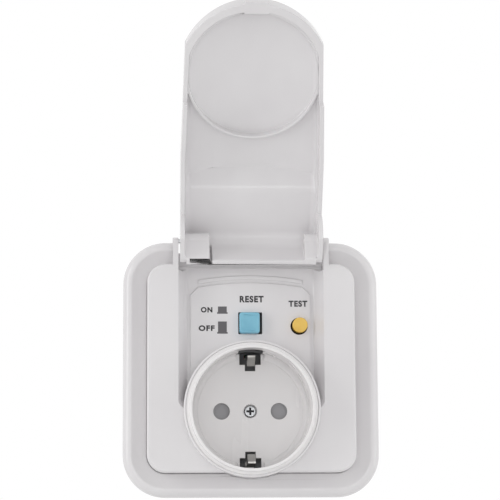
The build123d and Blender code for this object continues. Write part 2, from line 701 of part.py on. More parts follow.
with BuildPart() as lid_hollow:
    with BuildSketch(lid_front.offset(lid_low - LID_WALL)):
        lid_plan(LID_WALL)
    extrude(amount=LID_FACE_H + LID_WALL)
    with BuildSketch(lid_side):
        lid_profile(LID_WALL, lid_low - LID_WALL)
    extrude(amount=frame_half, both=True, mode=Mode.INTERSECT)
    with BuildSketch(lid_crown):
        with Locations((0, crown_centre)):
            Circle(LID_CROWN_R - LID_WALL)
    extrude(amount=2 * FRAME, both=True, mode=Mode.INTERSECT)
    roof = [face for face in lid_hollow.faces() if face.normal_at().dot(lid_front.z_dir) > ROOF_FACING]
    roof_edges = ShapeList(edge for face in roof for edge in face.edges())
    rim_lines = [edge for edge in roof_edges if sum(edge.is_same(other) for other in roof_edges) == 1]
    fillet(rim_lines, LID_FLOOR_R)
    # The rim is broad round the free end, out to the bead.
    with BuildSketch(lid_front.offset(lid_low - LID_WALL)):
        with Locations((0, lid_z(SOCKET_Z))):
            Rectangle(FRAME, FRAME, align=(Align.CENTER, Align.MAX))
            Circle(bead_out, mode=Mode.SUBTRACT)
    extrude(amount=LID_FACE_H, mode=Mode.SUBTRACT)

with BuildPart() as lid:
    with BuildSketch(lid_front.offset(lid_low)):
        lid_plan(0)
    extrude(amount=LID_FACE_H)
    with BuildSketch(lid_side):
        lid_profile(0, lid_low)
    extrude(amount=frame_half, both=True, mode=Mode.INTERSECT)
    with BuildSketch(lid_crown):
        with Locations((0, crown_centre)):
            Circle(LID_CROWN_R)
    extrude(amount=2 * FRAME, both=True, mode=Mode.INTERSECT)
    add(lid_hollow.part, mode=Mode.SUBTRACT)
    # Bead that seals round the well's rim.
    with BuildSketch(lid_front.offset(lid_h(BEAD_H))):
        with Locations((0, lid_z(SOCKET_Z))):
            Circle(bead_out)
            Circle(bead_out - BEAD_T, mode=Mode.SUBTRACT)
    extrude(until=Until.LAST)
    # Blocks round the two hinge pins.
    for block_in, block_out in ((-boss_out, TAB_X), (BLOCK_X, boss_out)):
        with BuildSketch(lid_side.offset(block_in)):
            Circle(PIN_BLOCK_R)
            with BuildLine():
                heel_in = lid_z(LID_HEEL_Z) - LID_WALL / 2
                Polyline((-PIN_BLOCK_R, 0), (heel_in - LID_WALL, lid_low), (heel_in, lid_low),
                         (heel_in, PIN_BLOCK_R), (0, PIN_BLOCK_R), (-PIN_BLOCK_R, 0))
            make_face()
        extrude(amount=block_out - block_in)
    # Free edges: low in the channel, higher over the collar, rounded about the hinge at the heel.
    with BuildSketch(lid_side):
        with BuildLine():
            far_z = lid_z(SOCKET_Z - LID_END_R) - LID_WALL
            step_z = lid_z(LID_STEP_Z)
            past_z = lid_z(LID_HEEL_Z) + LID_WALL
            Polyline((far_z, lid_h(LID_RIM_H)), (step_z, lid_h(LID_RIM_H)), (step_z, lid_h(LID_SIDE_H)),
                     (past_z, lid_h(LID_SIDE_H)), (past_z, LID_FACE_H), (far_z, LID_FACE_H),
                     (far_z, lid_h(LID_RIM_H)))
        make_face()
        Circle(LID_SWING_R)
    extrude(amount=frame_half, both=True, mode=Mode.INTERSECT)
    # Slits that free the snap tab beside the left pin.
    with BuildSketch(lid_side.offset(TAB_X)):
        with Locations((LID_HEEL_OUT - SLIT_SKIN, lid_low)):
            Rectangle(LID_HEEL_R, SLIT_UP, align=(Align.MAX, Align.MIN))
    extrude(amount=SLIT, mode=Mode.SUBTRACT)
    with BuildSketch(lid_side.offset(TAB_X)):
        with Locations((lid_z(LID_HEEL_Z) - LID_WALL, lid_low + TAB_SLOT_UP / 2)):
            Rectangle(SLIT, TAB_SLOT_UP)
    extrude(amount=-TAB_SLOT_W, mode=Mode.SUBTRACT)
    # Corner notches beside the heel.
    for notch_side in (-1, 1):
        with BuildSketch(lid_side.offset(notch_side * LID_HALF_HINGE)):
            with Locations((lid_z(LID_HEEL_Z), lid_low)):
                Rectangle(2 * CORNER_NOTCH, 2 * CORNER_NOTCH)
        extrude(amount=-notch_side * CORNER_NOTCH_W, mode=Mode.SUBTRACT)
    # Finger lip at the free end.
    with BuildSketch(lid_front.offset(lid_h(LID_RIM_H))):
        with Locations((LIP_GRIP_X, lid_z(SOCKET_Z) - LID_END_R + LID_WALL)):
            RectangleRounded(2 * LIP_GRIP_HALF, 2 * (LID_WALL + LIP_GRIP), LIP_GRIP)
    extrude(amount=LIP_GRIP_T)
    with BuildSketch(lid_side):
        Circle(PIN_R + RUN)
    extrude(amount=frame_half, both=True, mode=Mode.SUBTRACT)
lid.part.label = "lid"

# The two hinge pins are pressed into the cheeks and run in the flap's blocks.
pins = []
for pin_side, pin_name in ((-1, "hinge_pin_left"), (1, "hinge_pin_right")):
    with BuildPart() as hinge_pin:
        with BuildSketch(side(pin_side * (CHANNEL_HALF + CHEEK_T))):
            with Locations((HINGE_Z, HINGE_H)):
                Circle(PIN_R)
        extrude(amount=-pin_side * (CHEEK_T + CHANNEL_HALF - PIN_TIP_X))
    hinge_pin.part.label = pin_name
    pins.append(hinge_pin.part)

# Shutter behind the pin holes: two blades on a hub that turns on the well's boss.
blade_reach = SHUTTER_R * 2
blade_rise = blade_reach * math.tan(math.radians(SHUTTER_HALF_ANGLE))
with BuildPart() as pin_shutter:
    with BuildSketch(Plane(origin=(0, -SHUTTER_BACK, SOCKET_Z), x_dir=(1, 0, 0), z_dir=(0, -1, 0))):
        for blade_side in (-1, 1):
            with BuildLine():
                Polyline((0, 0), (blade_side * blade_reach, -blade_rise),
                         (blade_side * blade_reach, blade_rise), (0, 0))
            make_face()
        Circle(SHUTTER_R, mode=Mode.INTERSECT)
        Circle(SHUTTER_HUB_R)
    extrude(amount=SHUTTER_T)
    with BuildSketch(front(SHUTTER_BACK + SHUTTER_HUB_T)):
        with Locations((0, SOCKET_Z)):
            Circle(SHUTTER_HUB_R)
    extrude(amount=SHUTTER_T, mode=Mode.SUBTRACT)
    with BuildSketch(front(SHUTTER_BACK)):
        with Locations((0, SOCKET_Z)):
            Circle(BOSS_R + RUN)
    extrude(amount=SHUTTER_T, mode=Mode.SUBTRACT)
pin_shutter.part.label = "pin_shutter"
shutter_front = SHUTTER_BACK + SHUTTER_T
shutter_spring = coil("shutter_spring", (0, -shutter_front + SHUTTER_WIRE / 2, SOCKET_Z), (0, 1, 0),
                      BOSS_R + 2 * SHUTTER_WIRE, SHUTTER_T - SHUTTER_HUB_T - 2 * SHUTTER_WIRE,
                      SHUTTER_TURNS, SHUTTER_WIRE)

# Support ring: pressed sheet with slots for the box's screws and ears for the claws.
ring_screw_places = [(-RING_SCREW_X, RING_SCREW_Z), (RING_SCREW_X, RING_SCREW_Z),
                     (-RING_LOW_SCREW_X, RING_LOW_SCREW_Z), (RING_LOW_SCREW_X, RING_LOW_SCREW_Z)]
claw_screw_places = [(-CLAW_SCREW_X, CLAW_Z), (CLAW_SCREW_X, CLAW_Z)]
ear_z = CLAW_W / 2 + SLACK + CLAW_EAR_T / 2
ear_half = CLAW_PIVOT_R + CLAW_T / 2
with BuildPart() as support_ring:
    with BuildSketch(front(0)):
        RectangleRounded(RING_W, RING_TALL, RING_R)
        Circle(RING_BORE, mode=Mode.SUBTRACT)
        with Locations(*ring_screw_places):
            Circle(RING_LOBE_R)
        with Locations((-CLAW_X - ear_half, CLAW_Z), (CLAW_X + ear_half, CLAW_Z)):
            Rectangle(4 * ear_half, 2 * ear_z + CLAW_EAR_T)
        with Locations((0, SOCKET_Z)):
            Circle(WELL_R + WELL_WALL + 2 * SLACK, mode=Mode.SUBTRACT)
        with Locations((TEST_X, TEST_Z)):
            Circle(TEST_HOLE_R + BUTTON_FLANGE_T + SLACK, mode=Mode.SUBTRACT)
        with Locations(*ring_screw_places):
            Circle(SMALL_SHANK_R + SEAT, mode=Mode.SUBTRACT)
        with Locations(*claw_screw_places):
            Circle(CLAW_SCREW_R + SEAT, mode=Mode.SUBTRACT)
        with Locations((-SLOT_PITCH / 2, 0), (SLOT_PITCH / 2, 0)):
            SlotOverall(SLOT_L, 2 * SLOT_R, mode=Mode.SUBTRACT)
    extrude(amount=RING_T)
    for ear_side in (-1, 1):
        for ear_end in (-1, 1):
            with BuildSketch(level(CLAW_Z + ear_end * ear_z)):
                with Locations((ear_side * CLAW_X, CLAW_EAR_DEEP / 2)):
                    Rectangle(2 * ear_half, CLAW_EAR_DEEP)
                with Locations((ear_side * CLAW_X, -CLAW_PIVOT_H)):
                    Circle(CLAW_PIVOT_R + RUN, mode=Mode.SUBTRACT)
            extrude(amount=CLAW_EAR_T / 2, both=True)
support_ring.part.label = "support_ring"

ring_screws = screw("ring_screws", [(x, -RING_T - SMALL_HEAD_T, z) for x, z in ring_screw_places], (0, 1, 0),
                    SMALL_HEAD_R, SMALL_HEAD_T, SMALL_SHANK_R, RING_T - BASE_FRONT, SMALL_HEAD_T / 2)
claw_screws = screw("claw_screws", [(x, -RING_T - SMALL_HEAD_T, z) for x, z in claw_screw_places], (0, 1, 0),
                    CLAW_HEAD_R, SMALL_HEAD_T, CLAW_SCREW_R, RING_T - CLAW_END_H - CLAW_TOOTH,
                    SMALL_HEAD_T / 2)

# Spreading claws: forked plates that swing out on stub pivots and grip the wall box.
claws = []
for claw_side, claw_name in ((-1, "claw_left"), (1, "claw_right")):
    with BuildPart() as claw:
        with BuildSketch(side(claw_side * CLAW_X)) as claw_face:
            with Locations((CLAW_Z, (CLAW_TOP_H + CLAW_END_H) / 2)):
                Rectangle(CLAW_W, CLAW_TOP_H - CLAW_END_H)
            with Locations((CLAW_Z, (CLAW_FORK_H + CLAW_END_H) / 2)):
                Rectangle(2 * (CLAW_SCREW_R + SLACK), CLAW_FORK_H - CLAW_END_H, mode=Mode.SUBTRACT)
        extrude(amount=CLAW_T / 2, both=True)
        with BuildSketch(level(CLAW_Z)):
            with Locations((claw_side * CLAW_X, -CLAW_PIVOT_H)):
                Circle(CLAW_PIVOT_R)
        extrude(amount=ear_z + CLAW_EAR_T / 2, both=True)
        # Teeth turned out at the ends of the fork.
        with BuildSketch(level(CLAW_Z)):
            tooth_x = claw_side * (CLAW_X + CLAW_T / 2)
            with BuildLine():
                Polyline((tooth_x, -CLAW_END_H), (tooth_x + claw_side * CLAW_TOOTH, -CLAW_END_H),
                         (tooth_x, -CLAW_END_H - 2 * CLAW_TOOTH), (tooth_x, -CLAW_END_H))
            make_face()
        extrude(amount=CLAW_W / 2, both=True)
        with BuildSketch(side(claw_side * CLAW_X)):
            with Locations((CLAW_Z, CLAW_END_H)):
                Rectangle(2 * (CLAW_SCREW_R + SLACK), CLAW_W)
        extrude(amount=CLAW_W / 2, both=True, mode=Mode.SUBTRACT)
    claw.part.label = claw_name
    claws.append(claw.part)

# Base housing: round tub with flats, divided by a front plate and a partition.
plate_back = BASE_FRONT - BASE_PLATE_T
carrier_front = BAR_FRONT + CARRIER_T
terminal_low = TERMINAL_Z - TERMINAL_TALL / 2
with BuildPart() as base_housing:
    with BuildSketch(front(BASE_BACK)):
        Circle(BASE_R)
        Rectangle(2 * BASE_HALF, 2 * BASE_R, mode=Mode.INTERSECT)
    extrude(amount=-BASE_BACK)
    with BuildSketch(front(BASE_BACK)):
        Circle(BASE_R - BASE_WALL)
        Rectangle(2 * (BASE_HALF - BASE_WALL), 2 * BASE_R, mode=Mode.INTERSECT)
    extrude(amount=plate_back - BASE_BACK, mode=Mode.SUBTRACT)
    with BuildSketch(front(BASE_FRONT)):
        Circle(BASE_R - BASE_WALL)
        Rectangle(2 * (BASE_HALF - BASE_WALL), 2 * BASE_R, mode=Mode.INTERSECT)
    extrude(amount=-BASE_FRONT, mode=Mode.SUBTRACT)
    # Bosses for the ring's screws, in the corners of the wall.
    with BuildSketch(front(0)):
        with Locations(*ring_screw_places):
            Circle(SMALL_SHANK_R + POST_WALL)
    extrude(amount=BASE_FRONT - BASE_PLATE_T)
    # Boss for the cover screw and posts for the rear cover's screws.
    with BuildSketch(front(plate_back)):
        with Locations((0, SOCKET_Z)):
            Circle(SCREW_BOSS_R)
    extrude(amount=SCREW_BOSS_END - plate_back)
    with BuildSketch(front(plate_back)):
        with Locations((-POST_X, POST_Z), (POST_X, POST_Z)):
            Circle(POST_R)
    extrude(amount=BASE_BACK - plate_back)
    # Partition above the transformer, guide rails of the contact carriage and stops of the board.
    with BuildSketch(front(plate_back)):
        with Locations((0, PARTITION_Z + PARTITION_T / 2)):
            Rectangle(2 * (BASE_HALF - BASE_WALL), PARTITION_T)
    extrude(amount=PARTITION_END - plate_back)
    guide_x = CARRIAGE_HALF + SLACK + GUIDE_T / 2
    with BuildSketch(front(plate_back)):
        guide_z = (GUIDE_LOW_Z + GUIDE_TOP_Z) / 2
        with Locations((-guide_x, guide_z), (guide_x, guide_z)):
            Rectangle(GUIDE_T, GUIDE_TOP_Z - GUIDE_LOW_Z)
    extrude(amount=GUIDE_END - plate_back)
    stop_x = BASE_HALF - BASE_WALL - LEDGE
    with BuildSketch(front(plate_back)):
        with Locations((-stop_x, BOARD_LOW_Z + LEDGE / 2), (stop_x, BOARD_LOW_Z + LEDGE / 2)):
            Rectangle(2 * LEDGE, LEDGE)
    extrude(amount=BOARD_FRONT - plate_back)
    # Ledges that the contact carrier is pushed against, and barriers between the terminals.
    ledge_x = BASE_HALF - BASE_WALL - LEDGE / 2
    with BuildSketch(front(carrier_front)):
        with Locations((-ledge_x, (CARRIER_LOW_Z + CARRIER_HIGH_Z) / 2),
                       (ledge_x, (CARRIER_LOW_Z + CARRIER_HIGH_Z) / 2)):
            Rectangle(LEDGE, CARRIER_HIGH_Z - CARRIER_LOW_Z)
    extrude(amount=LEDGE)
    barrier_x = TERMINAL_X / 2
    with BuildSketch(front(BAR_FRONT - BAR_T)):
        with Locations((-barrier_x, -BASE_R), (barrier_x, -BASE_R)):
            Rectangle(BARRIER_T, BASE_R + CARRIER_LOW_Z - BARRIER_T, align=(Align.CENTER, Align.MIN))
        Circle(BASE_R - BASE_WALL / 2, mode=Mode.INTERSECT)
    extrude(amount=TERMINAL_BACK - BAR_FRONT + BAR_T)
    # Lugs for the latch pin, beside the left guide rail.
    for lug_z in (RELAY_Z - LEVER_TALL / 2 - SLACK - LUG_T, RELAY_Z + LEVER_TALL / 2 + SLACK):
        with BuildSketch(level(lug_z)):
            with Locations((LEVER_X, -(plate_back + LEVER_H) / 2)):
                Rectangle(2 * LEVER_BOSS_R, plate_back - LEVER_H)
            with Locations((LEVER_X, -LEVER_H)):
                Circle(LEVER_BOSS_R)
            with Locations((LEVER_X, -(plate_back + LEVER_H) / 2)):
                Rectangle(-LEVER_X - guide_x, plate_back - LEVER_H, align=(Align.MIN, Align.CENTER))
            with Locations((LEVER_X, -LEVER_H)):
                Circle(LATCH_PIN_R, mode=Mode.SUBTRACT)
        extrude(amount=LUG_T)
    # Window in the rail for the lever's hook.
    with BuildSketch(side(-guide_x)):
        with Locations((RELAY_Z, LEVER_H)):
            Rectangle(LEVER_TALL + 2 * SLACK, 2 * (LEVER_BOSS_R + LEVER_T))
    extrude(amount=GUIDE_T, both=True, mode=Mode.SUBTRACT)
    # Openings in the front plate.
    with BuildSketch(front(plate_back)):
        with Locations((-PIN_PITCH / 2, SOCKET_Z), (PIN_PITCH / 2, SOCKET_Z)):
            Circle(PIN_HOLE_R + SLACK)
        with Locations((RESET_X, RESET_Z)):
            Rectangle(BUTTON_PORT, BUTTON_PORT)
        with Locations((TEST_STEM_X, TEST_STEM_Z)):
            Circle(TEST_STEM_R + SLACK)
        with Locations((0, SOCKET_Z + STRAP_ARM), (0, SOCKET_Z - STRAP_ARM)):
            Rectangle(STRAP_W + 2 * SLACK, 2 * (STRAP_T + SLACK))
    extrude(amount=BASE_PLATE_T, mode=Mode.SUBTRACT)
    # The strap's lower arm passes through a notch in the wall.
    with BuildSketch(front(STRAP_H - STRAP_T - SLACK)):
        with Locations((0, SOCKET_Z - STRAP_ARM)):
            Rectangle(STRAP_W + 2 * SLACK, 2 * (BASE_WALL + SLACK))
    extrude(amount=-STRAP_H + STRAP_T + SLACK, mode=Mode.SUBTRACT)
    # Passages through the partition for the strap and the current bars.
    with BuildSketch(front(STRAP_H - STRAP_T - SLACK)):
        with Locations((0, PARTITION_Z + PARTITION_T / 2)):
            Rectangle(STRAP_W + 2 * SLACK, PARTITION_T)
    extrude(amount=plate_back - STRAP_H + STRAP_T + SLACK, mode=Mode.SUBTRACT)
    with BuildSketch(front(BAR_FRONT + SLACK)):
        with Locations((0, PARTITION_Z + PARTITION_T / 2)):
            Rectangle(2 * (BAR_X + BAR_W / 2 + SLACK), PARTITION_T)
    extrude(amount=PARTITION_END - BAR_FRONT - SLACK, mode=Mode.SUBTRACT)
    # Screw holes and the holes that reach the terminals from below.
    with BuildSketch(front(BASE_BACK)):
        with Locations((0, SOCKET_Z)):
            Circle(SCREW_R + RUN)
        with Locations(*ring_screw_places):
            Circle(SMALL_SHANK_R)
        with Locations((-POST_X, POST_Z), (POST_X, POST_Z)):
            Circle(SMALL_SHANK_R)
    extrude(amount=-BASE_BACK, mode=Mode.SUBTRACT)
    with BuildSketch(level(-BASE_R)):
        with Locations((-TERMINAL_X, -(BAR_FRONT - BAR_T + TERMINAL_BACK) / 2),
                       (0, -(BAR_FRONT - BAR_T + TERMINAL_BACK) / 2),
                       (TERMINAL_X, -(BAR_FRONT - BAR_T + TERMINAL_BACK) / 2)):
            Circle(CLAMP_HEAD_R + SLACK)
    extrude(amount=BASE_R + EARTH_Z, mode=Mode.SUBTRACT)
    # Room for the well.
    with BuildSketch(front(well_back - SLACK)):
        with Locations((0, SOCKET_Z)):
            Circle(WELL_R + WELL_WALL + SLACK)
    extrude(amount=SLACK - well_back, mode=Mode.SUBTRACT)
base_housing.part.label = "base_housing"

# Rear cover with holes for the wires and posts that hold the board.
with BuildPart() as rear_cover:
    with BuildSketch(front(BASE_BACK - REAR_T)):
        Circle(BASE_R)
        Rectangle(2 * BASE_HALF, 2 * BASE_R, mode=Mode.INTERSECT)
        with Locations((-TERMINAL_X, TERMINAL_Z), (0, EARTH_Z), (TERMINAL_X, TERMINAL_Z)):
            Circle(WIRE_R + SLACK, mode=Mode.SUBTRACT)
        with Locations((-POST_X, POST_Z), (POST_X, POST_Z)):
            Circle(SMALL_SHANK_R + SEAT, mode=Mode.SUBTRACT)
    extrude(amount=REAR_T)
    with BuildSketch(front(BASE_BACK)):
        with Locations((-stop_x, BOARD_LOW_Z + LEDGE), (stop_x, BOARD_LOW_Z + LEDGE),
                       (0, BOARD_R - BASE_WALL)):
            Circle(LEDGE)
    extrude(amount=BOARD_FRONT - BOARD_T - BASE_BACK)
rear_cover.part.label = "rear_cover"
rear_heads = -BASE_BACK + REAR_T + SMALL_HEAD_T
housing_screws = screw("housing_screws", [(-POST_X, rear_heads, POST_Z), (POST_X, rear_heads, POST_Z)],
                       (0, -1, 0), SMALL_HEAD_R, SMALL_HEAD_T, SMALL_SHANK_R, REAR_SCREW_L, SMALL_HEAD_T / 2)

# Earth strap: disc round the screw boss, two sprung arms in the notches and a tail to its terminal.
with BuildPart() as earth_strap:
    with BuildSketch(front(STRAP_H - STRAP_T)):
        with Locations((0, SOCKET_Z)):
            Circle(STRAP_DISC_R)
            Rectangle(STRAP_W, 2 * STRAP_ARM)
            Circle(SCREW_BOSS_R + SEAT, mode=Mode.SUBTRACT)
    extrude(amount=STRAP_T)
    for arm_side in (-1, 1):
        with BuildSketch(side(0)):
            root = SOCKET_Z + arm_side * STRAP_ARM
            thick = arm_side * STRAP_T
            hump = arm_side * STRAP_HUMP
            with BuildLine():
                Polyline((root, STRAP_H), (root, WELL_FLOOR_H), (root - hump, STRAP_HUMP_H),
                         (root - hump / 4, STRAP_TIP_H), (root - hump / 4 - thick, STRAP_TIP_H),
                         (root - hump - thick, STRAP_HUMP_H), (root - thick, WELL_FLOOR_H),
                         (root - thick, STRAP_H - STRAP_T), (root, STRAP_H - STRAP_T), (root, STRAP_H))
            make_face()
        extrude(amount=STRAP_ARM_W / 2, both=True)
    with BuildSketch(front(STRAP_H)):
        with Locations((0, EARTH_Z + TERMINAL_TALL / 2 + STRAP_T / 2)):
            Rectangle(STRAP_W, STRAP_T)
    extrude(amount=STRAP_TAIL_END - STRAP_H)
earth_strap.part.label = "earth_strap"

# Sprung sleeves for the plug's pins, riveted to their carrier.
sleeves = []
for sleeve_side, sleeve_name in ((-1, "live_sleeve"), (1, "neutral_sleeve")):
    with BuildPart() as sleeve:
        with BuildSketch(front(carrier_front)):
            with Locations((sleeve_side * PIN_PITCH / 2, SOCKET_Z)):
                Circle(SLEEVE_R)
        extrude(amount=SLEEVE_FRONT - carrier_front)
        chamfer(sleeve.faces().sort_by(Axis.Y)[0].edges(), (SLEEVE_R - SLEEVE_BORE) / 2)
        with BuildSketch(front(carrier_front + CARRIER_T)):
            with Locations((sleeve_side * PIN_PITCH / 2, SOCKET_Z)):
                Circle(SLEEVE_BORE)
                Rectangle(SLEEVE_SLIT, 2 * SLEEVE_R)
        extrude(amount=SLEEVE_FRONT - carrier_front - CARRIER_T, mode=Mode.SUBTRACT)
        with BuildSketch(front(carrier_front)):
            with Locations((sleeve_side * PIN_PITCH / 2, SOCKET_Z)):
                Circle(RIVET_R)
        extrude(amount=-CARRIER_T - RIVET_HEAD)
        with BuildSketch(front(BAR_FRONT)):
            with Locations((sleeve_side * PIN_PITCH / 2, SOCKET_Z)):
                Circle(RIVET_R + RIVET_HEAD)
        extrude(amount=-RIVET_HEAD)
    sleeve.part.label = sleeve_name
    sleeves.append(sleeve.part)

with BuildPart() as contact_carrier:
    with BuildSketch(front(BAR_FRONT)):
        with Locations((0, (CARRIER_LOW_Z + CARRIER_HIGH_Z) / 2)):
            Rectangle(2 * (BASE_HALF - BASE_WALL - SEAT), CARRIER_HIGH_Z - CARRIER_LOW_Z)
    extrude(amount=CARRIER_T)
    with BuildSketch(front(carrier_front)):
        with Locations((-PIN_PITCH / 2, SOCKET_Z), (PIN_PITCH / 2, SOCKET_Z)):
            Circle(SLEEVE_R + SEAT + LEDGE)
            Circle(SLEEVE_R + SEAT, mode=Mode.SUBTRACT)
    extrude(amount=CARRIER_CUP)
    with BuildSketch(front(BAR_FRONT)):
        with Locations((-PIN_PITCH / 2, SOCKET_Z), (PIN_PITCH / 2, SOCKET_Z)):
            Circle(RIVET_R)
    extrude(amount=CARRIER_T, mode=Mode.SUBTRACT)
contact_carrier.part.label = "contact_carrier"

# Current bars: from each terminal across behind the carrier, up through the transformer to a contact pad.
bars = []
for bar_side, bar_name in ((-1, "live_bar"), (1, "neutral_bar")):
    with BuildPart() as bar:
        with BuildSketch(front(BAR_FRONT - BAR_T)):
            with BuildLine() as bar_run:
                Polyline((bar_side * TERMINAL_X, TERMINAL_Z), (bar_side * TERMINAL_X, BAR_CROSS_Z),
                         (bar_side * BAR_X, BAR_CROSS_Z), (bar_side * BAR_X, BAR_JOG_Z),
                         (bar_side * PAD_X, BAR_JOG_Z), (bar_side * PAD_X, PAD_TOP_Z))
            trace(bar_run.line, BAR_W)
        extrude(amount=BAR_T)
    bar.part.label = bar_name
    bars.append(bar.part)

# Terminals: brass blocks with a hole for the wire and a clamping screw from below.
terminal_front = BAR_FRONT - BAR_T
terminal_h = (terminal_front + TERMINAL_BACK) / 2
terminals = []
for terminal_name, x, z in (("terminal_live", -TERMINAL_X, TERMINAL_Z),
                            ("terminal_neutral", TERMINAL_X, TERMINAL_Z), ("terminal_earth", 0, EARTH_Z)):
    with BuildPart() as terminal:
        with BuildSketch(front(TERMINAL_BACK)):
            with Locations((x, z)):
                Rectangle(TERMINAL_W, TERMINAL_TALL)
                Circle(WIRE_R, mode=Mode.SUBTRACT)
        extrude(amount=terminal_front - TERMINAL_BACK)
        with BuildSketch(level(z - TERMINAL_TALL / 2)):
            with Locations((x, -terminal_h)):
                Circle(CLAMP_R)
        extrude(amount=TERMINAL_TALL / 2, mode=Mode.SUBTRACT)
    terminal.part.label = terminal_name
    terminals.append(terminal.part)

with BuildPart() as terminal_screws:
    for x, z in ((-TERMINAL_X, TERMINAL_Z), (0, EARTH_Z), (TERMINAL_X, TERMINAL_Z)):
        low = z - TERMINAL_TALL / 2
        with BuildSketch(level(low)):
            with Locations((x, -terminal_h)):
                Circle(CLAMP_R)
        extrude(amount=TERMINAL_TALL / 2 - WIRE_R)
        with BuildSketch(level(low)):
            with Locations((x, -terminal_h)):
                Circle(CLAMP_HEAD_R)
        extrude(amount=-CLAMP_R)
        with BuildSketch(level(low - CLAMP_R)):
            with Locations((x, -terminal_h)):
                Rectangle(2 * CLAMP_HEAD_R, CLAMP_HEAD_R / 4)
        extrude(amount=CLAMP_R / 2, mode=Mode.SUBTRACT)
terminal_screws.part.label = "terminal_screws"

# Summation transformer round the two bars: ring core with a winding that leaves a gap.
ct_axis = Axis((0, -(BAR_FRONT - BAR_T / 2), 0), (0, 0, 1))
ct_side = Plane(origin=(0, -(BAR_FRONT - BAR_T / 2), PARTITION_Z - CT_TALL / 2), x_dir=(1, 0, 0),
                z_dir=(0, -1, 0))
core_w = CT_R - CT_BORE - 2 * CT_WALL
core_tall = CT_TALL - 2 * CT_WALL
core_r = (CT_R + CT_BORE) / 2
with BuildPart() as transformer_core:
    with BuildSketch(ct_side):
        with Locations((core_r, 0)):
            Rectangle(core_w, core_tall)
    revolve(axis=ct_axis)
transformer_core.part.label = "transformer_core"
with BuildPart() as transformer_winding:
    with BuildSketch(ct_side):
        with Locations((core_r, 0)):
            RectangleRounded(CT_R - CT_BORE, CT_TALL, CT_WALL)
            Rectangle(core_w, core_tall, mode=Mode.SUBTRACT)
    revolve(axis=ct_axis, revolution_arc=CT_WRAP)
transformer_winding.part.label = "transformer_winding"

# Circuit board and the parts soldered to it.
with BuildPart() as circuit_board:
    with BuildSketch(front(BOARD_FRONT - BOARD_T)):
        Circle(BOARD_R)
        with Locations((0, BOARD_LOW_Z)):
            Rectangle(2 * BOARD_HALF, BOARD_R, align=(Align.CENTER, Align.MIN), mode=Mode.INTERSECT)
    extrude(amount=BOARD_T)
circuit_board.part.label = "circuit_board"
with BuildPart() as capacitor:
    with BuildSketch(front(BOARD_FRONT)):
        with Locations((CAPACITOR_X, CAPACITOR_Z)):
            Circle(CAPACITOR_R)
    extrude(amount=CAPACITOR_TALL)
    fillet(capacitor.faces().sort_by(Axis.Y)[0].edges(), CAPACITOR_EDGE)
capacitor.part.label = "capacitor"
with BuildPart() as varistor:
    with BuildSketch(side(VARISTOR_X - VARISTOR_T / 2)):
        with Locations((VARISTOR_Z, BOARD_FRONT + VARISTOR_R)):
            Circle(VARISTOR_R)
    extrude(amount=VARISTOR_T)
varistor.part.label = "varistor"
with BuildPart() as control_chip:
    with BuildSketch(front(BOARD_FRONT)):
        with Locations((CHIP_X, CHIP_Z)):
            Rectangle(CHIP_W, CHIP_TALL)
    extrude(amount=CHIP_T)
control_chip.part.label = "control_chip"
with BuildPart() as resistors:
    for number in (-1, 0, 1):
        with BuildSketch(level(RESISTOR_Z - RESISTOR_L / 2)):
            with Locations((RESISTOR_X + number * RESISTOR_PITCH, -BOARD_FRONT - RESISTOR_R)):
                Circle(RESISTOR_R)
        extrude(amount=RESISTOR_L)
resistors.part.label = "resistors"

# Trip relay: bobbin, winding and a C-shaped yoke, with a plunger sprung forward.
bobbin_back = BOARD_FRONT + YOKE_T
with BuildPart() as coil_bobbin:
    with BuildSketch(front(bobbin_back)):
        with Locations((RELAY_X, RELAY_Z)):
            Circle(BOBBIN_R)
    extrude(amount=BOBBIN_FRONT - bobbin_back)
    with BuildSketch(front(bobbin_back + BOBBIN_FLANGE)):
        with Locations((RELAY_X, RELAY_Z)):
            Circle(BOBBIN_R)
            Circle(BOBBIN_TUBE_R, mode=Mode.SUBTRACT)
    extrude(amount=BOBBIN_FRONT - bobbin_back - 2 * BOBBIN_FLANGE, mode=Mode.SUBTRACT)
    with BuildSketch(front(bobbin_back)):
        with Locations((RELAY_X, RELAY_Z)):
            Circle(PLUNGER_R + SLACK)
    extrude(amount=BOBBIN_FRONT - bobbin_back, mode=Mode.SUBTRACT)
coil_bobbin.part.label = "coil_bobbin"
with BuildPart() as coil_winding:
    with BuildSketch(front(bobbin_back + BOBBIN_FLANGE)):
        with Locations((RELAY_X, RELAY_Z)):
            Circle(BOBBIN_R - SLACK)
            Circle(BOBBIN_TUBE_R, mode=Mode.SUBTRACT)
    extrude(amount=BOBBIN_FRONT - bobbin_back - 2 * BOBBIN_FLANGE)
coil_winding.part.label = "coil_winding"
yoke_front = BOBBIN_FRONT + YOKE_T
with BuildPart() as coil_yoke:
    with BuildSketch(level(RELAY_Z - YOKE_W / 2)):
        with BuildLine():
            left = RELAY_X - BOBBIN_R * 0.8
            right = RELAY_X + BOBBIN_R
            Polyline((left, -yoke_front), (right + YOKE_T, -yoke_front), (right + YOKE_T, -BOARD_FRONT),
                     (left, -BOARD_FRONT), (left, -bobbin_back), (right, -bobbin_back),
                     (right, -BOBBIN_FRONT), (left, -BOBBIN_FRONT), (left, -yoke_front))
        make_face()
    extrude(amount=YOKE_W)
    with BuildSketch(front(BOBBIN_FRONT)):
        with Locations((RELAY_X, RELAY_Z)):
            Circle(PLUNGER_R + SLACK)
    extrude(amount=YOKE_T, mode=Mode.SUBTRACT)
coil_yoke.part.label = "coil_yoke"
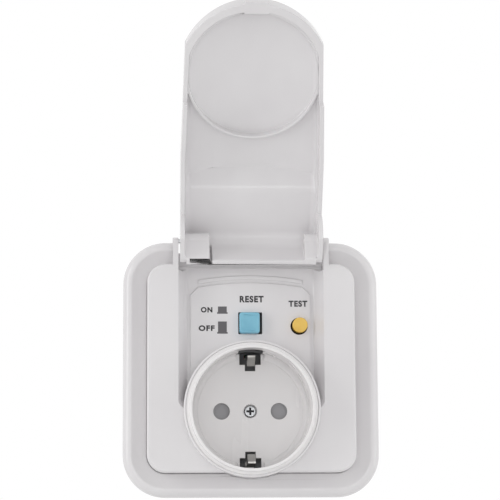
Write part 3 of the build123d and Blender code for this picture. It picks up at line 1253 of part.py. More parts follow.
with BuildPart() as trip_plunger:
    with BuildSketch(front(bobbin_back + 2 * BOBBIN_FLANGE)):
        with Locations((RELAY_X, RELAY_Z)):
            Circle(PLUNGER_R)
    extrude(amount=PLUNGER_FRONT - bobbin_back - 2 * BOBBIN_FLANGE)
    with BuildSketch(front(PLUNGER_FRONT - PLUNGER_DISC_T)):
        with Locations((RELAY_X, RELAY_Z)):
            Circle(PLUNGER_DISC_R)
    extrude(amount=PLUNGER_DISC_T)
trip_plunger.part.label = "trip_plunger"
disc_back = PLUNGER_FRONT - PLUNGER_DISC_T
plunger_spring = coil("plunger_spring", (RELAY_X, -yoke_front - FINE_WIRE / 2, RELAY_Z), (0, -1, 0),
                      PLUNGER_R + FINE_WIRE, disc_back - yoke_front - FINE_WIRE, 2, FINE_WIRE)

# Latch lever: the plunger lifts its long arm and its short arm frees the carriage.
with BuildPart() as latch_lever:
    with BuildSketch(level(RELAY_Z)):
        with Locations((LEVER_X, -LEVER_H)):
            Circle(LEVER_BOSS_R)
            Rectangle(LEVER_ARM, LEVER_T, align=(Align.MAX, Align.CENTER))
            Rectangle(LEVER_HOOK, LEVER_T, align=(Align.MIN, Align.CENTER))
            Circle(LATCH_PIN_R + RUN, mode=Mode.SUBTRACT)
    extrude(amount=LEVER_TALL / 2, both=True)
latch_lever.part.label = "latch_lever"
with BuildPart() as latch_pin:
    with BuildSketch(level(RELAY_Z)):
        with Locations((LEVER_X, -LEVER_H)):
            Circle(LATCH_PIN_R)
    extrude(amount=LEVER_TALL / 2 + SLACK + LUG_T, both=True)
latch_pin.part.label = "latch_pin"

# Contact carriage with two arms, its moving contacts and the spring that opens them.
carriage_front = RESET_STEM_END - SLACK
carriage_back = carriage_front - CARRIAGE_L
contact_front = BAR_FRONT + CONTACT_GAP + CONTACT_T
arm_x = CARRIAGE_HALF - BAR_W / 2
with BuildPart() as contact_carriage:
    with BuildSketch(front(carriage_back)):
        with Locations((0, (CARRIAGE_LOW_Z + CARRIAGE_TOP_Z) / 2)):
            Rectangle(2 * CARRIAGE_HALF, CARRIAGE_TOP_Z - CARRIAGE_LOW_Z)
    extrude(amount=carriage_front - carriage_back)
    with BuildSketch(front(carriage_back)):
        with Locations((-arm_x, OPENING_SPRING_Z), (arm_x, OPENING_SPRING_Z)):
            Rectangle(BAR_W, BAR_W)
    extrude(amount=contact_front - carriage_back)
contact_carriage.part.label = "contact_carriage"
moving_contacts = []
for contact_side, contact_name in ((-1, "moving_contact_live"), (1, "moving_contact_neutral")):
    with BuildPart() as moving_contact:
        with BuildSketch(front(contact_front)):
            with Locations((contact_side * PAD_X, CARRIAGE_LOW_Z)):
                Rectangle(CONTACT_W, PAD_TOP_Z - CARRIAGE_LOW_Z, align=(Align.CENTER, Align.MIN))
        extrude(amount=-CONTACT_T)
    moving_contact.part.label = contact_name
    moving_contacts.append(moving_contact.part)
opening_spring = coil("opening_spring", (0, -carriage_back + WIRE / 2, OPENING_SPRING_Z), (0, 1, 0),
                      OPENING_SPRING_R, carriage_back - BOARD_FRONT - WIRE, OPENING_TURNS, WIRE)

# Reset button: dished square cap, flange under the panel and a stem to the carriage.
button_seat = PANEL_H - PANEL_T - SEAT
flange_back = button_seat - BUTTON_FLANGE_T
with BuildPart() as reset_button:
    with BuildSketch(front(flange_back)):
        with Locations((RESET_HOLE_X, RESET_HOLE_Z)):
            RectangleRounded(RESET_HOLE_W + RESET_FLANGE, RESET_HOLE_D + RESET_FLANGE / 2, RESET_EDGE)
    extrude(amount=BUTTON_FLANGE_T)
    with BuildSketch(front(button_seat)):
        with Locations((RESET_X, RESET_Z)):
            RectangleRounded(RESET_W, RESET_D, RESET_CORNER_R)
    extrude(amount=RESET_H - button_seat)
    fillet(reset_button.faces().sort_by(Axis.Y)[0].edges(), RESET_EDGE)
    with BuildSketch(level(RESET_Z - RESET_D / 2 + RESET_DISH_IN)):
        with Locations((RESET_X, RESET_DISH - RESET_H - RESET_DISH_R)):
            Circle(RESET_DISH_R)
    extrude(amount=RESET_D - 2 * RESET_DISH_IN, mode=Mode.SUBTRACT)
    with BuildSketch(front(RESET_STEM_END)):
        with Locations((RESET_X, RESET_Z)):
            Rectangle(RESET_STEM, RESET_STEM)
    extrude(amount=flange_back - RESET_STEM_END)
reset_button.part.label = "reset_button"
reset_spring = coil("reset_spring", (RESET_X, -flange_back + WIRE / 2, RESET_Z), (0, 1, 0),
                    BUTTON_SPRING_R, flange_back - BASE_FRONT - WIRE, BUTTON_TURNS, WIRE)

# Test button: round cap with a flange that reaches in to an offset stem.
with BuildPart() as test_button:
    with BuildSketch(front(flange_back)):
        with Locations((TEST_HOLE_X, TEST_HOLE_Z)):
            Circle(TEST_HOLE_R + BUTTON_FLANGE_T / 2)
        with Locations((TEST_STEM_X, TEST_STEM_Z)):
            Circle(TEST_SPRING_R + WIRE)
        make_hull()
    extrude(amount=BUTTON_FLANGE_T)
    with BuildSketch(front(button_seat)):
        with Locations((TEST_X, TEST_Z)):
            Circle(TEST_R)
    extrude(amount=TEST_H - button_seat)
    fillet(test_button.faces().sort_by(Axis.Y)[0].edges(), TEST_EDGE)
    with BuildSketch(front(TEST_STEM_END)):
        with Locations((TEST_STEM_X, TEST_STEM_Z)):
            Circle(TEST_STEM_R)
    extrude(amount=flange_back - TEST_STEM_END)
test_button.part.label = "test_button"
test_spring = coil("test_spring", (TEST_STEM_X, -flange_back + WIRE / 2, TEST_STEM_Z), (0, 1, 0),
                   TEST_SPRING_R, flange_back - BASE_FRONT - WIRE, BUTTON_TURNS, WIRE)

# Leaf contact that the test stem presses, bent down to the board.
leaf_front = TEST_STEM_END - TEST_TRAVEL - SEAT
with BuildPart() as test_leaf:
    with BuildSketch(front(leaf_front)):
        with Locations((TEST_STEM_X, BOARD_LOW_Z)):
            Rectangle(LEAF_W, LEAF_TOP_Z - BOARD_LOW_Z, align=(Align.CENTER, Align.MIN))
    extrude(amount=-LEAF_T)
    with BuildSketch(front(leaf_front)):
        with Locations((TEST_STEM_X, BOARD_LOW_Z)):
            Rectangle(LEAF_W, LEAF_T, align=(Align.CENTER, Align.MIN))
    extrude(amount=BOARD_FRONT - leaf_front)
test_leaf.part.label = "test_leaf"

for builder in (outer_frame, front_cover, socket_well, well_ring, lid, pin_shutter, support_ring,
                base_housing, rear_cover, earth_strap, contact_carrier, terminal_screws, transformer_core,
                transformer_winding, circuit_board, capacitor, varistor, control_chip, resistors,
                coil_bobbin, coil_winding, coil_yoke, trip_plunger, latch_lever, latch_pin,
                contact_carriage, reset_button, test_button, test_leaf):
    write(builder.part)
for piece in (cover_screw, shutter_spring, ring_screws, claw_screws, housing_screws, plunger_spring,
              opening_spring, reset_spring, test_spring, *pins, *claws, *sleeves, *bars, *terminals,
              *moving_contacts):
    write(piece)
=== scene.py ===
"""A wall socket with a residual current switch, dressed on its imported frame.

The pieces follow in the order in which the device is put together from the front: frame and cover,
plug well, flap, keys, printed marks, shutter, screw and earth clips, then everything behind the wall.
"""
import json
import math

import bmesh
import bpy
from mathutils import Matrix, Vector

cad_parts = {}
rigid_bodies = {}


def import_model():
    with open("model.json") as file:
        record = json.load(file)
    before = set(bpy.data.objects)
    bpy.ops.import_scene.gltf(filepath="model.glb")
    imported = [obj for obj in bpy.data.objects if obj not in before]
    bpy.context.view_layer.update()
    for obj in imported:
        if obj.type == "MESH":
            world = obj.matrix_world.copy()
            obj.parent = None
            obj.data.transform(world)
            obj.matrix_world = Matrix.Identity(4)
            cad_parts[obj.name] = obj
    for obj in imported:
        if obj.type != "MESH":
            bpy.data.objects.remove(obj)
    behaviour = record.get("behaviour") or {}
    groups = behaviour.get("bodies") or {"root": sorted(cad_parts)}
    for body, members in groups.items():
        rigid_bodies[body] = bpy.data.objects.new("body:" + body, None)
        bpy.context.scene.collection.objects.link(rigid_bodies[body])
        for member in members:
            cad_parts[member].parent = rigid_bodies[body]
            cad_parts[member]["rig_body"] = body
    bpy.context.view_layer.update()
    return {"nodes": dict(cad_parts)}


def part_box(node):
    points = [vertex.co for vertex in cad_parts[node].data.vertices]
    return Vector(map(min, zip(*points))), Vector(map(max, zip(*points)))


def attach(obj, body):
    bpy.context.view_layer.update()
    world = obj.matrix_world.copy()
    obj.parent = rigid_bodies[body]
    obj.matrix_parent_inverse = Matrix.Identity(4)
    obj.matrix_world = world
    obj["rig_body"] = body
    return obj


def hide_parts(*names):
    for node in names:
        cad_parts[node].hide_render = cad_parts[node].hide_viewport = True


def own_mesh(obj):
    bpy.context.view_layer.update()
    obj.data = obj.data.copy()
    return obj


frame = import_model()

# Outer frame and front cover: two glossy white urea mouldings, pressed in polished tools.
# The cover stands in the frame's opening and carries the sunken panel, the collar and the hinge cheeks.
# Both are shown with their facets merged and their tool edges rounded.
MM = 0.001
SCREEN_MAX = 255
SRGB_STEP = 0.04045
SRGB_SLOPE = 12.92
SRGB_LIFT = 0.055
SRGB_POWER = 2.4
WHITE = (227, 225, 226)
WHITE_DRIFT = (219, 216, 218)
FRAME_EDGE = 0.35
COVER_EDGE = 0.25
EDGE_SEGMENTS = 3
EDGE_ANGLE = 28.0
FLAT_ANGLE = 0.05
MERGE_GAP = 0.004
CLOUD_SCALE = 38.0
CLOUD_HEIGHT = 0.4
FLOW_SCALE = 90.0
FLOW_STRETCH = (1.0, 1.0, 0.18)
FLOW_SHARE = 0.35
DRIFT_RANGE = (0.4, 0.66)
POLISH_RANGE = (0.35, 0.65)
SOCKET_Z = -8.6
PANEL_CLEAR = 37.0
CHEEK_X = 25.0
CHEEK_ROOT_Z = 36.8
CHEEK_CLEAR = 1.9
HEEL_X = 22.6
HEEL_Z = 39.2
HEEL_CLEAR = 1.7


def linear(red, green, blue):
    """A colour written as 0-255 screen values, as the linear values that a shader takes."""
    values = []
    for part in (red, green, blue):
        share = part / SCREEN_MAX
        if share <= SRGB_STEP:
            values.append(share / SRGB_SLOPE)
        else:
            values.append(((share + SRGB_LIFT) / (1 + SRGB_LIFT)) ** SRGB_POWER)
    return (*values, 1.0)


def surface_group(name, inputs):
    """An empty surface group: its own inputs, and a colour, a roughness and a height as its outputs.

    The input called Gloss is the roughness where the surface is best polished, so lower is shinier.
    """
    group = bpy.data.node_groups.new(name, "ShaderNodeTree")
    for label, value in inputs.items():
        kind = "NodeSocketColor" if isinstance(value, tuple) else "NodeSocketFloat"
        socket = group.interface.new_socket(label, in_out="INPUT", socket_type=kind)
        socket.default_value = value
    group.interface.new_socket("Colour", in_out="OUTPUT", socket_type="NodeSocketColor")
    group.interface.new_socket("Roughness", in_out="OUTPUT", socket_type="NodeSocketFloat")
    group.interface.new_socket("Height", in_out="OUTPUT", socket_type="NodeSocketFloat")
    return group, group.nodes.new("NodeGroupInput"), group.nodes.new("NodeGroupOutput")


def feed(tree, value, socket):
    """Link a socket, or set a plain value."""
    if isinstance(value, bpy.types.NodeSocket):
        tree.links.new(value, socket)
    else:
        socket.default_value = value


def noise(tree, place, scale, detail=3.0, stretch=None):
    """Cloudy noise in object space, drawn out along an axis where asked."""
    made = tree.nodes.new("ShaderNodeTexNoise")
    made.inputs["Detail"].default_value = detail
    if stretch is not None:
        mapping = tree.nodes.new("ShaderNodeMapping")
        mapping.inputs["Scale"].default_value = stretch
        tree.links.new(place, mapping.inputs["Vector"])
        place = mapping.outputs["Vector"]
    tree.links.new(place, made.inputs["Vector"])
    feed(tree, scale, made.inputs["Scale"])
    return made.outputs["Fac"]


def spread(tree, value, low, high, out_low=0.0, out_high=1.0):
    """A value stretched from one range to another."""
    made = tree.nodes.new("ShaderNodeMapRange")
    for label, bound in (("Value", value), ("From Min", low), ("From Max", high),
                         ("To Min", out_low), ("To Max", out_high)):
        feed(tree, bound, made.inputs[label])
    return made.outputs["Result"]


def work(tree, operation, *values):
    """One arithmetic step."""
    made = tree.nodes.new("ShaderNodeMath")
    made.operation = operation
    for index, value in enumerate(values):
        feed(tree, value, made.inputs[index])
    return made.outputs["Value"]


def blend(tree, factor, first, second):
    """A mix of two colours."""
    made = tree.nodes.new("ShaderNodeMix")
    made.data_type = "RGBA"
    feed(tree, factor, made.inputs["Factor"])
    feed(tree, first, [socket for socket in made.inputs if socket.identifier == "A_Color"][0])
    feed(tree, second, [socket for socket in made.inputs if socket.identifier == "B_Color"][0])
    return [socket for socket in made.outputs if socket.identifier == "Result_Color"][0]


def object_place(tree):
    """Where a point lies on its piece, in metres."""
    return tree.nodes.new("ShaderNodeTexCoord").outputs["Object"]


def moulded_surface():
    """Moulded plastic: slow tone drift, faint flow lines, a fine tool grain and a polish that varies."""
    group, start, end = surface_group("Moulded surface", {
        "Colour": (0.8, 0.8, 0.8, 1.0), "Drift colour": (0.7, 0.7, 0.7, 1.0), "Drift": 0.4,
        "Gloss": 0.35, "Gloss spread": 0.1, "Grain scale": 2600.0})
    place = object_place(group)
    slow = noise(group, place, CLOUD_SCALE)
    flow = noise(group, place, FLOW_SCALE, stretch=FLOW_STRETCH)
    grain = noise(group, place, start.outputs["Grain scale"], detail=2.0)
    drift = work(group, "ADD", work(group, "MULTIPLY", slow, 1 - FLOW_SHARE),
                 work(group, "MULTIPLY", flow, FLOW_SHARE))
    amount = spread(group, drift, *DRIFT_RANGE, 0.0, start.outputs["Drift"])
    colour = blend(group, amount, start.outputs["Colour"], start.outputs["Drift colour"])
    dull = work(group, "ADD", start.outputs["Gloss"], start.outputs["Gloss spread"])
    group.links.new(colour, end.inputs["Colour"])
    polish = spread(group, flow, *POLISH_RANGE, start.outputs["Gloss"], dull)
    group.links.new(polish, end.inputs["Roughness"])
    height = work(group, "ADD", grain, work(group, "MULTIPLY", slow, CLOUD_HEIGHT))
    group.links.new(height, end.inputs["Height"])
    return group


def finish(name, group, values, bump=0.1, relief=0.05, metallic=0.0, coat=0.0):
    """A material on the Principled shader, fed by a surface group with this material's own values."""
    made = bpy.data.materials.new(name)
    made.use_nodes = True
    tree = made.node_tree
    shader = tree.nodes["Principled BSDF"]
    surface = tree.nodes.new("ShaderNodeGroup")
    surface.node_tree = group
    for label, value in values.items():
        feed(tree, value, surface.inputs[label])
    height = tree.nodes.new("ShaderNodeBump")
    height.inputs["Strength"].default_value = bump
    height.inputs["Distance"].default_value = relief * MM
    tree.links.new(surface.outputs["Colour"], shader.inputs["Base Color"])
    tree.links.new(surface.outputs["Roughness"], shader.inputs["Roughness"])
    tree.links.new(surface.outputs["Height"], height.inputs["Height"])
    tree.links.new(height.outputs["Normal"], shader.inputs["Normal"])
    shader.inputs["Metallic"].default_value = metallic
    shader.inputs["Coat Weight"].default_value = coat
    return made


def dress(made, *nodes):
    """Give CAD nodes a material in place of their own."""
    for node in nodes:
        frame["nodes"][node].data.materials.clear()
        frame["nodes"][node].data.materials.append(made)


def add_piece(name, mesh, made, body):
    """A new piece from a mesh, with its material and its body."""
    mesh.materials.clear()
    mesh.materials.append(made)
    piece = bpy.data.objects.new(name, mesh)
    bpy.context.scene.collection.objects.link(piece)
    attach(piece, body)
    return piece


def add_shape(name, shape, made, body):
    """A new piece from an open bmesh, which is closed here."""
    mesh = bpy.data.meshes.new(name)
    shape.to_mesh(mesh)
    shape.free()
    return add_piece(name, mesh, made, body)


def rounded(node, made, edge, spare=()):
    """A copy of a node with its facets merged and its sharp edges rounded, which stands for the node.

    Inside the spared circles, given as x, z and radius, the moulding keeps its fine shapes as they are.
    """
    source = frame["nodes"][node].data
    mesh = bmesh.new()
    mesh.from_mesh(source)
    bmesh.ops.remove_doubles(mesh, verts=mesh.verts, dist=MERGE_GAP * MM)

    def outside(vertex):
        return all(math.hypot(vertex.co.x - x * MM, vertex.co.z - z * MM) > radius * MM
                   for x, z, radius in spare)

    free_edges = [line for line in mesh.edges if all(outside(vertex) for vertex in line.verts)]
    free_verts = [vertex for vertex in mesh.verts
                  if outside(vertex) and all(outside(line.other_vert(vertex)) for line in vertex.link_edges)]
    bmesh.ops.dissolve_limit(mesh, angle_limit=math.radians(FLAT_ANGLE), verts=free_verts, edges=free_edges)
    weight = mesh.edges.layers.float.new("bevel_weight_edge")
    for line in mesh.edges:
        sharp = line.calc_face_angle(0.0) > math.radians(EDGE_ANGLE)
        bevelled = sharp and all(outside(vertex) for vertex in line.verts)
        line[weight] = 1.0 if bevelled else 0.0
        line.smooth = bevelled or not sharp
    piece = add_shape(node + "_rounded", mesh, made, frame["nodes"][node]["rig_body"])
    for polygon in piece.data.polygons:
        polygon.use_smooth = True
    bevel = piece.modifiers.new("edges", "BEVEL")
    bevel.width = edge * MM
    bevel.segments = EDGE_SEGMENTS
    bevel.limit_method = "WEIGHT"
    bevel.use_clamp_overlap = False
    normals = piece.modifiers.new("normals", "WEIGHTED_NORMAL")
    normals.keep_sharp = True
    bpy.context.view_layer.update()
    shown = bpy.data.meshes.new_from_object(piece.evaluated_get(bpy.context.evaluated_depsgraph_get()))
    piece.modifiers.clear()
    piece.data = shown
    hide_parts(node)
    return piece


MOULDED = moulded_surface()
white_plastic = finish("white moulded plastic", MOULDED, {
    "Colour": linear(*WHITE), "Drift colour": linear(*WHITE_DRIFT), "Drift": 0.5,
    "Gloss": 0.16, "Gloss spread": 0.06}, bump=0.04)
HEEL_CORNERS = ((-HEEL_X, HEEL_Z, HEEL_CLEAR), (HEEL_X, HEEL_Z, HEEL_CLEAR))
CHEEK_ROOTS = ((-CHEEK_X, CHEEK_ROOT_Z, CHEEK_CLEAR), (CHEEK_X, CHEEK_ROOT_Z, CHEEK_CLEAR))
rounded("outer_frame", white_plastic, FRAME_EDGE, spare=HEEL_CORNERS)
rounded("front_cover", white_plastic, COVER_EDGE, spare=(
    (0, SOCKET_Z, PANEL_CLEAR), *CHEEK_ROOTS, *HEEL_CORNERS))

# Plug well: a floor disc with the pin holes and earth notches, inside a separate ring with its rim.
# Both are white like the cover, and the corner between floor and wall is moulded with a soft radius.
WELL_WHITE = (238, 236, 236)
WELL_DRIFT = (231, 229, 229)
WELL_R = 19.4
CORNER_R = 2.0
CORNER_STEPS = 8
CORNER_SEGMENTS = 72
CORNER_SINK = 0.05
WINDOW_HALF = 4.2


def bridged(rings, smooth=False):
    """A closed shape from rings of points in millimetres, joined ring by ring and capped at both ends."""
    shape = bmesh.new()
    corners = [[shape.verts.new(point * MM) for point in ring] for ring in rings]
    for first, second in zip(corners, corners[1:]):
        for index in range(len(first)):
            after = (index + 1) % len(first)
            side = shape.faces.new((first[index], first[after], second[after], second[index]))
            side.smooth = smooth
    shape.faces.new(corners[0])
    shape.faces.new(corners[-1])
    bmesh.ops.recalc_face_normals(shape, faces=shape.faces)
    return shape


def well_corner(name, side):
    """The rounded corner between floor and wall, on one side of the two earth notches."""
    gap = math.asin(WINDOW_HALF / (WELL_R - CORNER_R))
    profile = [(WELL_R + CORNER_SINK, -CORNER_SINK), (WELL_R - CORNER_R, -CORNER_SINK)]
    for step in range(CORNER_STEPS + 1):
        angle = math.pi / 2 * step / CORNER_STEPS
        profile.append((WELL_R - CORNER_R + CORNER_R * math.sin(angle),
                        CORNER_R - CORNER_R * math.cos(angle) + CORNER_SINK))
    profile.append((WELL_R + CORNER_SINK, CORNER_R))
    rings = []
    for index in range(CORNER_SEGMENTS + 1):
        angle = side * (gap + (math.pi - 2 * gap) * (index / CORNER_SEGMENTS))
        rings.append([Vector((radius * math.sin(angle), -height, SOCKET_Z + radius * math.cos(angle)))
                      for radius, height in profile])
    return add_shape(name, bridged(rings, smooth=True), well_plastic, "housing")


well_plastic = finish("white well plastic", MOULDED, {
    "Colour": linear(*WELL_WHITE), "Drift colour": linear(*WELL_DRIFT), "Drift": 0.5,
    "Gloss": 0.2, "Gloss spread": 0.08}, bump=0.04)
dress(well_plastic, "socket_well", "well_ring")
well_corner("well_corner_right", 1)
well_corner("well_corner_left", -1)

# Flap: one white moulding with a bead inside that closes on the rim of the well.
# It turns on two drawn steel pins that are pressed into the cover's cheeks.
LID_EDGE = 0.3
METAL_STRETCH = (1.0, 1.0, 0.05)
METAL_CLOUD = 160.0
METAL_DULL = 0.22
STAIN_RANGE = (0.45, 0.7)
DRAWN_RANGE = (0.75, 1.25)
OPEN_ANGLE = 146.0
HINGE_PLACE = Vector((0.0, -9.5, 46.8))
HEEL_TOP = 51.5
HEEL_ROLL = 6.0
HEEL_ROLL_FROM = 10.6
WEB_SIDES = (-14.1, -12.5)
WEB_RISE = (11.3, 13.7)
WEB_STEPS = 8
WEB_SINK = 0.03
WEB_T = 0.25


def metal_surface():
    """Plated or drawn metal: fine drawing lines, cloudy plating and duller spots."""
    group, start, end = surface_group("Metal surface", {
        "Colour": (0.6, 0.6, 0.6, 1.0), "Stain": (0.4, 0.4, 0.4, 1.0), "Stain amount": 0.4,
        "Gloss": 0.28, "Line scale": 900.0})
    place = object_place(group)
    cloud = noise(group, place, METAL_CLOUD)
    lines = noise(group, place, start.outputs["Line scale"], detail=2.0, stretch=METAL_STRETCH)
    stain = spread(group, cloud, *STAIN_RANGE, 0.0, start.outputs["Stain amount"])
    dull = work(group, "ADD", start.outputs["Gloss"], METAL_DULL)
    both = work(group, "ADD", cloud, lines)
    colour = blend(group, stain, start.outputs["Colour"], start.outputs["Stain"])
    group.links.new(colour, end.inputs["Colour"])
    polish = spread(group, both, *DRAWN_RANGE, start.outputs["Gloss"], dull)
    group.links.new(polish, end.inputs["Roughness"])
    group.links.new(lines, end.inputs["Height"])
    return group


def slit_web():
    """The thin web that closes the end of the slit beside the snap tab, under the roll of the flap's heel.

    It is drawn on the closed flap and then turned to where the flap stands open.
    """
    turn = Matrix.Rotation(math.radians(-OPEN_ANGLE), 3, "X")
    rings = []
    for step in range(WEB_STEPS + 1):
        rise = WEB_RISE[0] + (WEB_RISE[1] - WEB_RISE[0]) * step / WEB_STEPS
        top = HEEL_TOP - HEEL_ROLL + math.sqrt(HEEL_ROLL ** 2 - (rise - HEEL_ROLL_FROM) ** 2) - WEB_SINK
        low = top - WEB_T
        corners = [Vector((x, -rise, z)) for x, z in (
            (WEB_SIDES[0], top), (WEB_SIDES[1], top), (WEB_SIDES[1], low), (WEB_SIDES[0], low))]
        rings.append([turn @ (corner - HINGE_PLACE) + HINGE_PLACE for corner in corners])
    return add_shape("slit_web", bridged(rings), white_plastic, "flap")


METAL = metal_surface()
rounded("lid", white_plastic, LID_EDGE)
slit_web()
drawn_steel = finish("drawn steel", METAL, {
    "Colour": linear(206, 207, 209), "Stain": linear(168, 168, 172), "Gloss": 0.22, "Line scale": 1800.0},
    metallic=1.0)
dress(drawn_steel, "hinge_pin_left", "hinge_pin_right", "latch_pin")

# Reset and test keys: a dished blue key and a round yellow one, moulded in coloured plastic.
# Fingers leave a thin sheen on their tops, and the gaps round them are painted shade: the keys darken to
# near black deeper than the panel's face.
KEY_EDGE = 0.25
PAD_FACE = -5.2
KEY_SHADE_START = 0.1
KEY_SHADE_FULL = 0.9
SMEAR_SCALE = 900.0
SHADE_EDGE_WOBBLE = 0.1
SUNK_CLOUD = 120.0
SUNK_DRIFT_RANGE = (0.4, 0.65)
SUNK_DULL = 0.4


def painted_depth_shade():
    """An unshaded colour near the front, with shade painted in: it darkens towards a dark colour deeper than
    a given place.
    """
    group, start, end = surface_group("Painted depth shade", {
        "Colour": (0.6, 0.6, 0.6, 1.0), "Drift colour": (0.5, 0.5, 0.5, 1.0),
        "Painted shade colour": (0.02, 0.02, 0.02, 1.0), "Unshaded until": -0.005, "Fully shaded from": -0.004, "Gloss": 0.25})
    place = object_place(group)
    axes = group.nodes.new("ShaderNodeSeparateXYZ")
    group.links.new(place, axes.inputs["Vector"])
    smear = noise(group, place, SMEAR_SCALE)
    slow = noise(group, place, SUNK_CLOUD)
    edge = work(group, "ADD", axes.outputs["Y"], work(group, "MULTIPLY", smear, SHADE_EDGE_WOBBLE * MM))
    # Painted shade: none near the front and full deeper in, along an uneven edge.
    deep = spread(group, edge, start.outputs["Unshaded until"], start.outputs["Fully shaded from"])
    dull = work(group, "ADD", start.outputs["Gloss"], SUNK_DULL)
    drift = spread(group, slow, *SUNK_DRIFT_RANGE)
    unshaded_colour = blend(group, drift, start.outputs["Colour"], start.outputs["Drift colour"])
    group.links.new(blend(group, deep, unshaded_colour, start.outputs["Painted shade colour"]), end.inputs["Colour"])
    group.links.new(spread(group, deep, 0.0, 1.0, start.outputs["Gloss"], dull), end.inputs["Roughness"])
    group.links.new(smear, end.inputs["Height"])
    return group


PAINTED_DEPTH_SHADE = painted_depth_shade()
# Depths behind the panel's face between which shade is painted onto the keys' sides and skirts.
KEY_SHADE_DEPTHS = {"Unshaded until": (PAD_FACE + KEY_SHADE_START) * MM, "Fully shaded from": (PAD_FACE + KEY_SHADE_FULL) * MM}
blue_plastic = finish("blue key plastic", PAINTED_DEPTH_SHADE, {
    "Colour": linear(124, 188, 210), "Drift colour": linear(110, 176, 202),
    "Painted shade colour": linear(14, 18, 22), "Gloss": 0.2, **KEY_SHADE_DEPTHS}, bump=0.04, coat=0.3)
yellow_plastic = finish("yellow key plastic", PAINTED_DEPTH_SHADE, {
    "Colour": linear(236, 196, 92), "Drift colour": linear(226, 180, 74),
    "Painted shade colour": linear(30, 22, 10), "Gloss": 0.24, **KEY_SHADE_DEPTHS}, bump=0.04, coat=0.2)
rounded("reset_button", blue_plastic, KEY_EDGE)
rounded("test_button", yellow_plastic, KEY_EDGE)

# Printed marks: plain function words and two key symbols, pad printed in dark grey on the panel.
# The ink lies a few hundredths of a millimetre proud, and its tone is a little uneven.
INK_T = 0.03
WORDS = {
    "word_on": ("ON", -16.4, -12.57, 23.66, 25.49),
    "word_off": ("OFF", -17.14, -11.86, 17.52, 19.41),
    "word_reset": ("RESET", -3.56, 4.38, 27.0, 29.23),
    "word_test": ("TEST", 12.64, 18.86, 25.57, 27.64),
}
LETTER_WEIGHT = 0.048
LETTER_SPACING = 1.18
LETTER_DEPTH = 0.5
SYMBOL_LEFT = -10.75
SYMBOL_RIGHT = -7.84
SYMBOL_FOOT = 0.28
SYMBOL_FOOT_T = 0.52
KEY_IN = (23.76, 25.66)
KEY_OUT = (17.15, 20.68)
letter_ink = finish("dark printing ink", MOULDED, {
    "Colour": linear(44, 42, 45), "Drift colour": linear(58, 56, 59), "Drift": 0.8, "Gloss": 0.5,
    "Grain scale": 3800.0}, bump=0.2)
symbol_ink = finish("grey printing ink", MOULDED, {
    "Colour": linear(92, 90, 93), "Drift colour": linear(106, 104, 107), "Drift": 0.8, "Gloss": 0.5,
    "Grain scale": 3800.0}, bump=0.2)


def printed_word(name, text, left, right, low, high):
    """A word in plain capitals, fitted to its box on the panel."""
    letters = bpy.data.curves.new(name, "FONT")
    letters.body = text
    letters.offset = LETTER_WEIGHT
    letters.space_character = LETTER_SPACING
    letters.extrude = LETTER_DEPTH
    source = bpy.data.objects.new(name + "_source", letters)
    bpy.context.scene.collection.objects.link(source)
    bpy.context.view_layer.update()
    mesh = bpy.data.meshes.new_from_object(source.evaluated_get(bpy.context.evaluated_depsgraph_get()))
    bpy.data.objects.remove(source)
    xs = [vertex.co.x for vertex in mesh.vertices]
    ys = [vertex.co.y for vertex in mesh.vertices]
    for vertex in mesh.vertices:
        across = (vertex.co.x - min(xs)) / (max(xs) - min(xs))
        up_share = (vertex.co.y - min(ys)) / (max(ys) - min(ys))
        out = vertex.co.z + LETTER_DEPTH
        vertex.co = Vector((left + across * (right - left), PAD_FACE - out * INK_T,
                            low + up_share * (high - low))) * MM
    return add_piece(name, mesh, letter_ink, "housing")


def printed_symbol(name, low, high):
    """A key standing on a line, as tall as the key stands out in that state."""
    foot_left = SYMBOL_LEFT - SYMBOL_FOOT
    foot_right = SYMBOL_RIGHT + SYMBOL_FOOT
    foot_low = low - SYMBOL_FOOT_T
    outline = [(foot_left, foot_low), (foot_right, foot_low), (foot_right, low), (SYMBOL_RIGHT, low),
               (SYMBOL_RIGHT, high), (SYMBOL_LEFT, high), (SYMBOL_LEFT, low), (foot_left, low)]
    rings = [[Vector((x, depth, z)) for x, z in outline] for depth in (PAD_FACE, PAD_FACE - INK_T)]
    return add_shape(name, bridged(rings), symbol_ink, "housing")


for mark_name, box in WORDS.items():
    printed_word(mark_name, *box)
printed_symbol("symbol_key_in", *KEY_IN)
printed_symbol("symbol_key_out", *KEY_OUT)

# Pin shutter: a grey two-bladed turnstile behind the pin holes, in a slippery plastic.
# Its spring, like the others in the device, is wound from bright spring wire.
shutter_plastic = finish("grey shutter plastic", MOULDED, {
    "Colour": linear(170, 169, 172), "Drift colour": linear(156, 155, 158), "Gloss": 0.4}, bump=0.1)
spring_wire = finish("spring wire", METAL, {
    "Colour": linear(168, 170, 174), "Stain": linear(126, 128, 134), "Gloss": 0.25}, metallic=1.0)
dress(shutter_plastic, "pin_shutter")
dress(spring_wire, "shutter_spring", "plunger_spring")


def pressed_spring(node):
    """A copy of a coil spring, which stands for the node."""
    wire = frame["nodes"][node].data.copy()
    piece = add_piece(node + "_wire", wire, spring_wire, "housing")
    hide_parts(node)
    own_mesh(piece)


pressed_spring("reset_spring")
pressed_spring("opening_spring")
pressed_spring("test_spring")

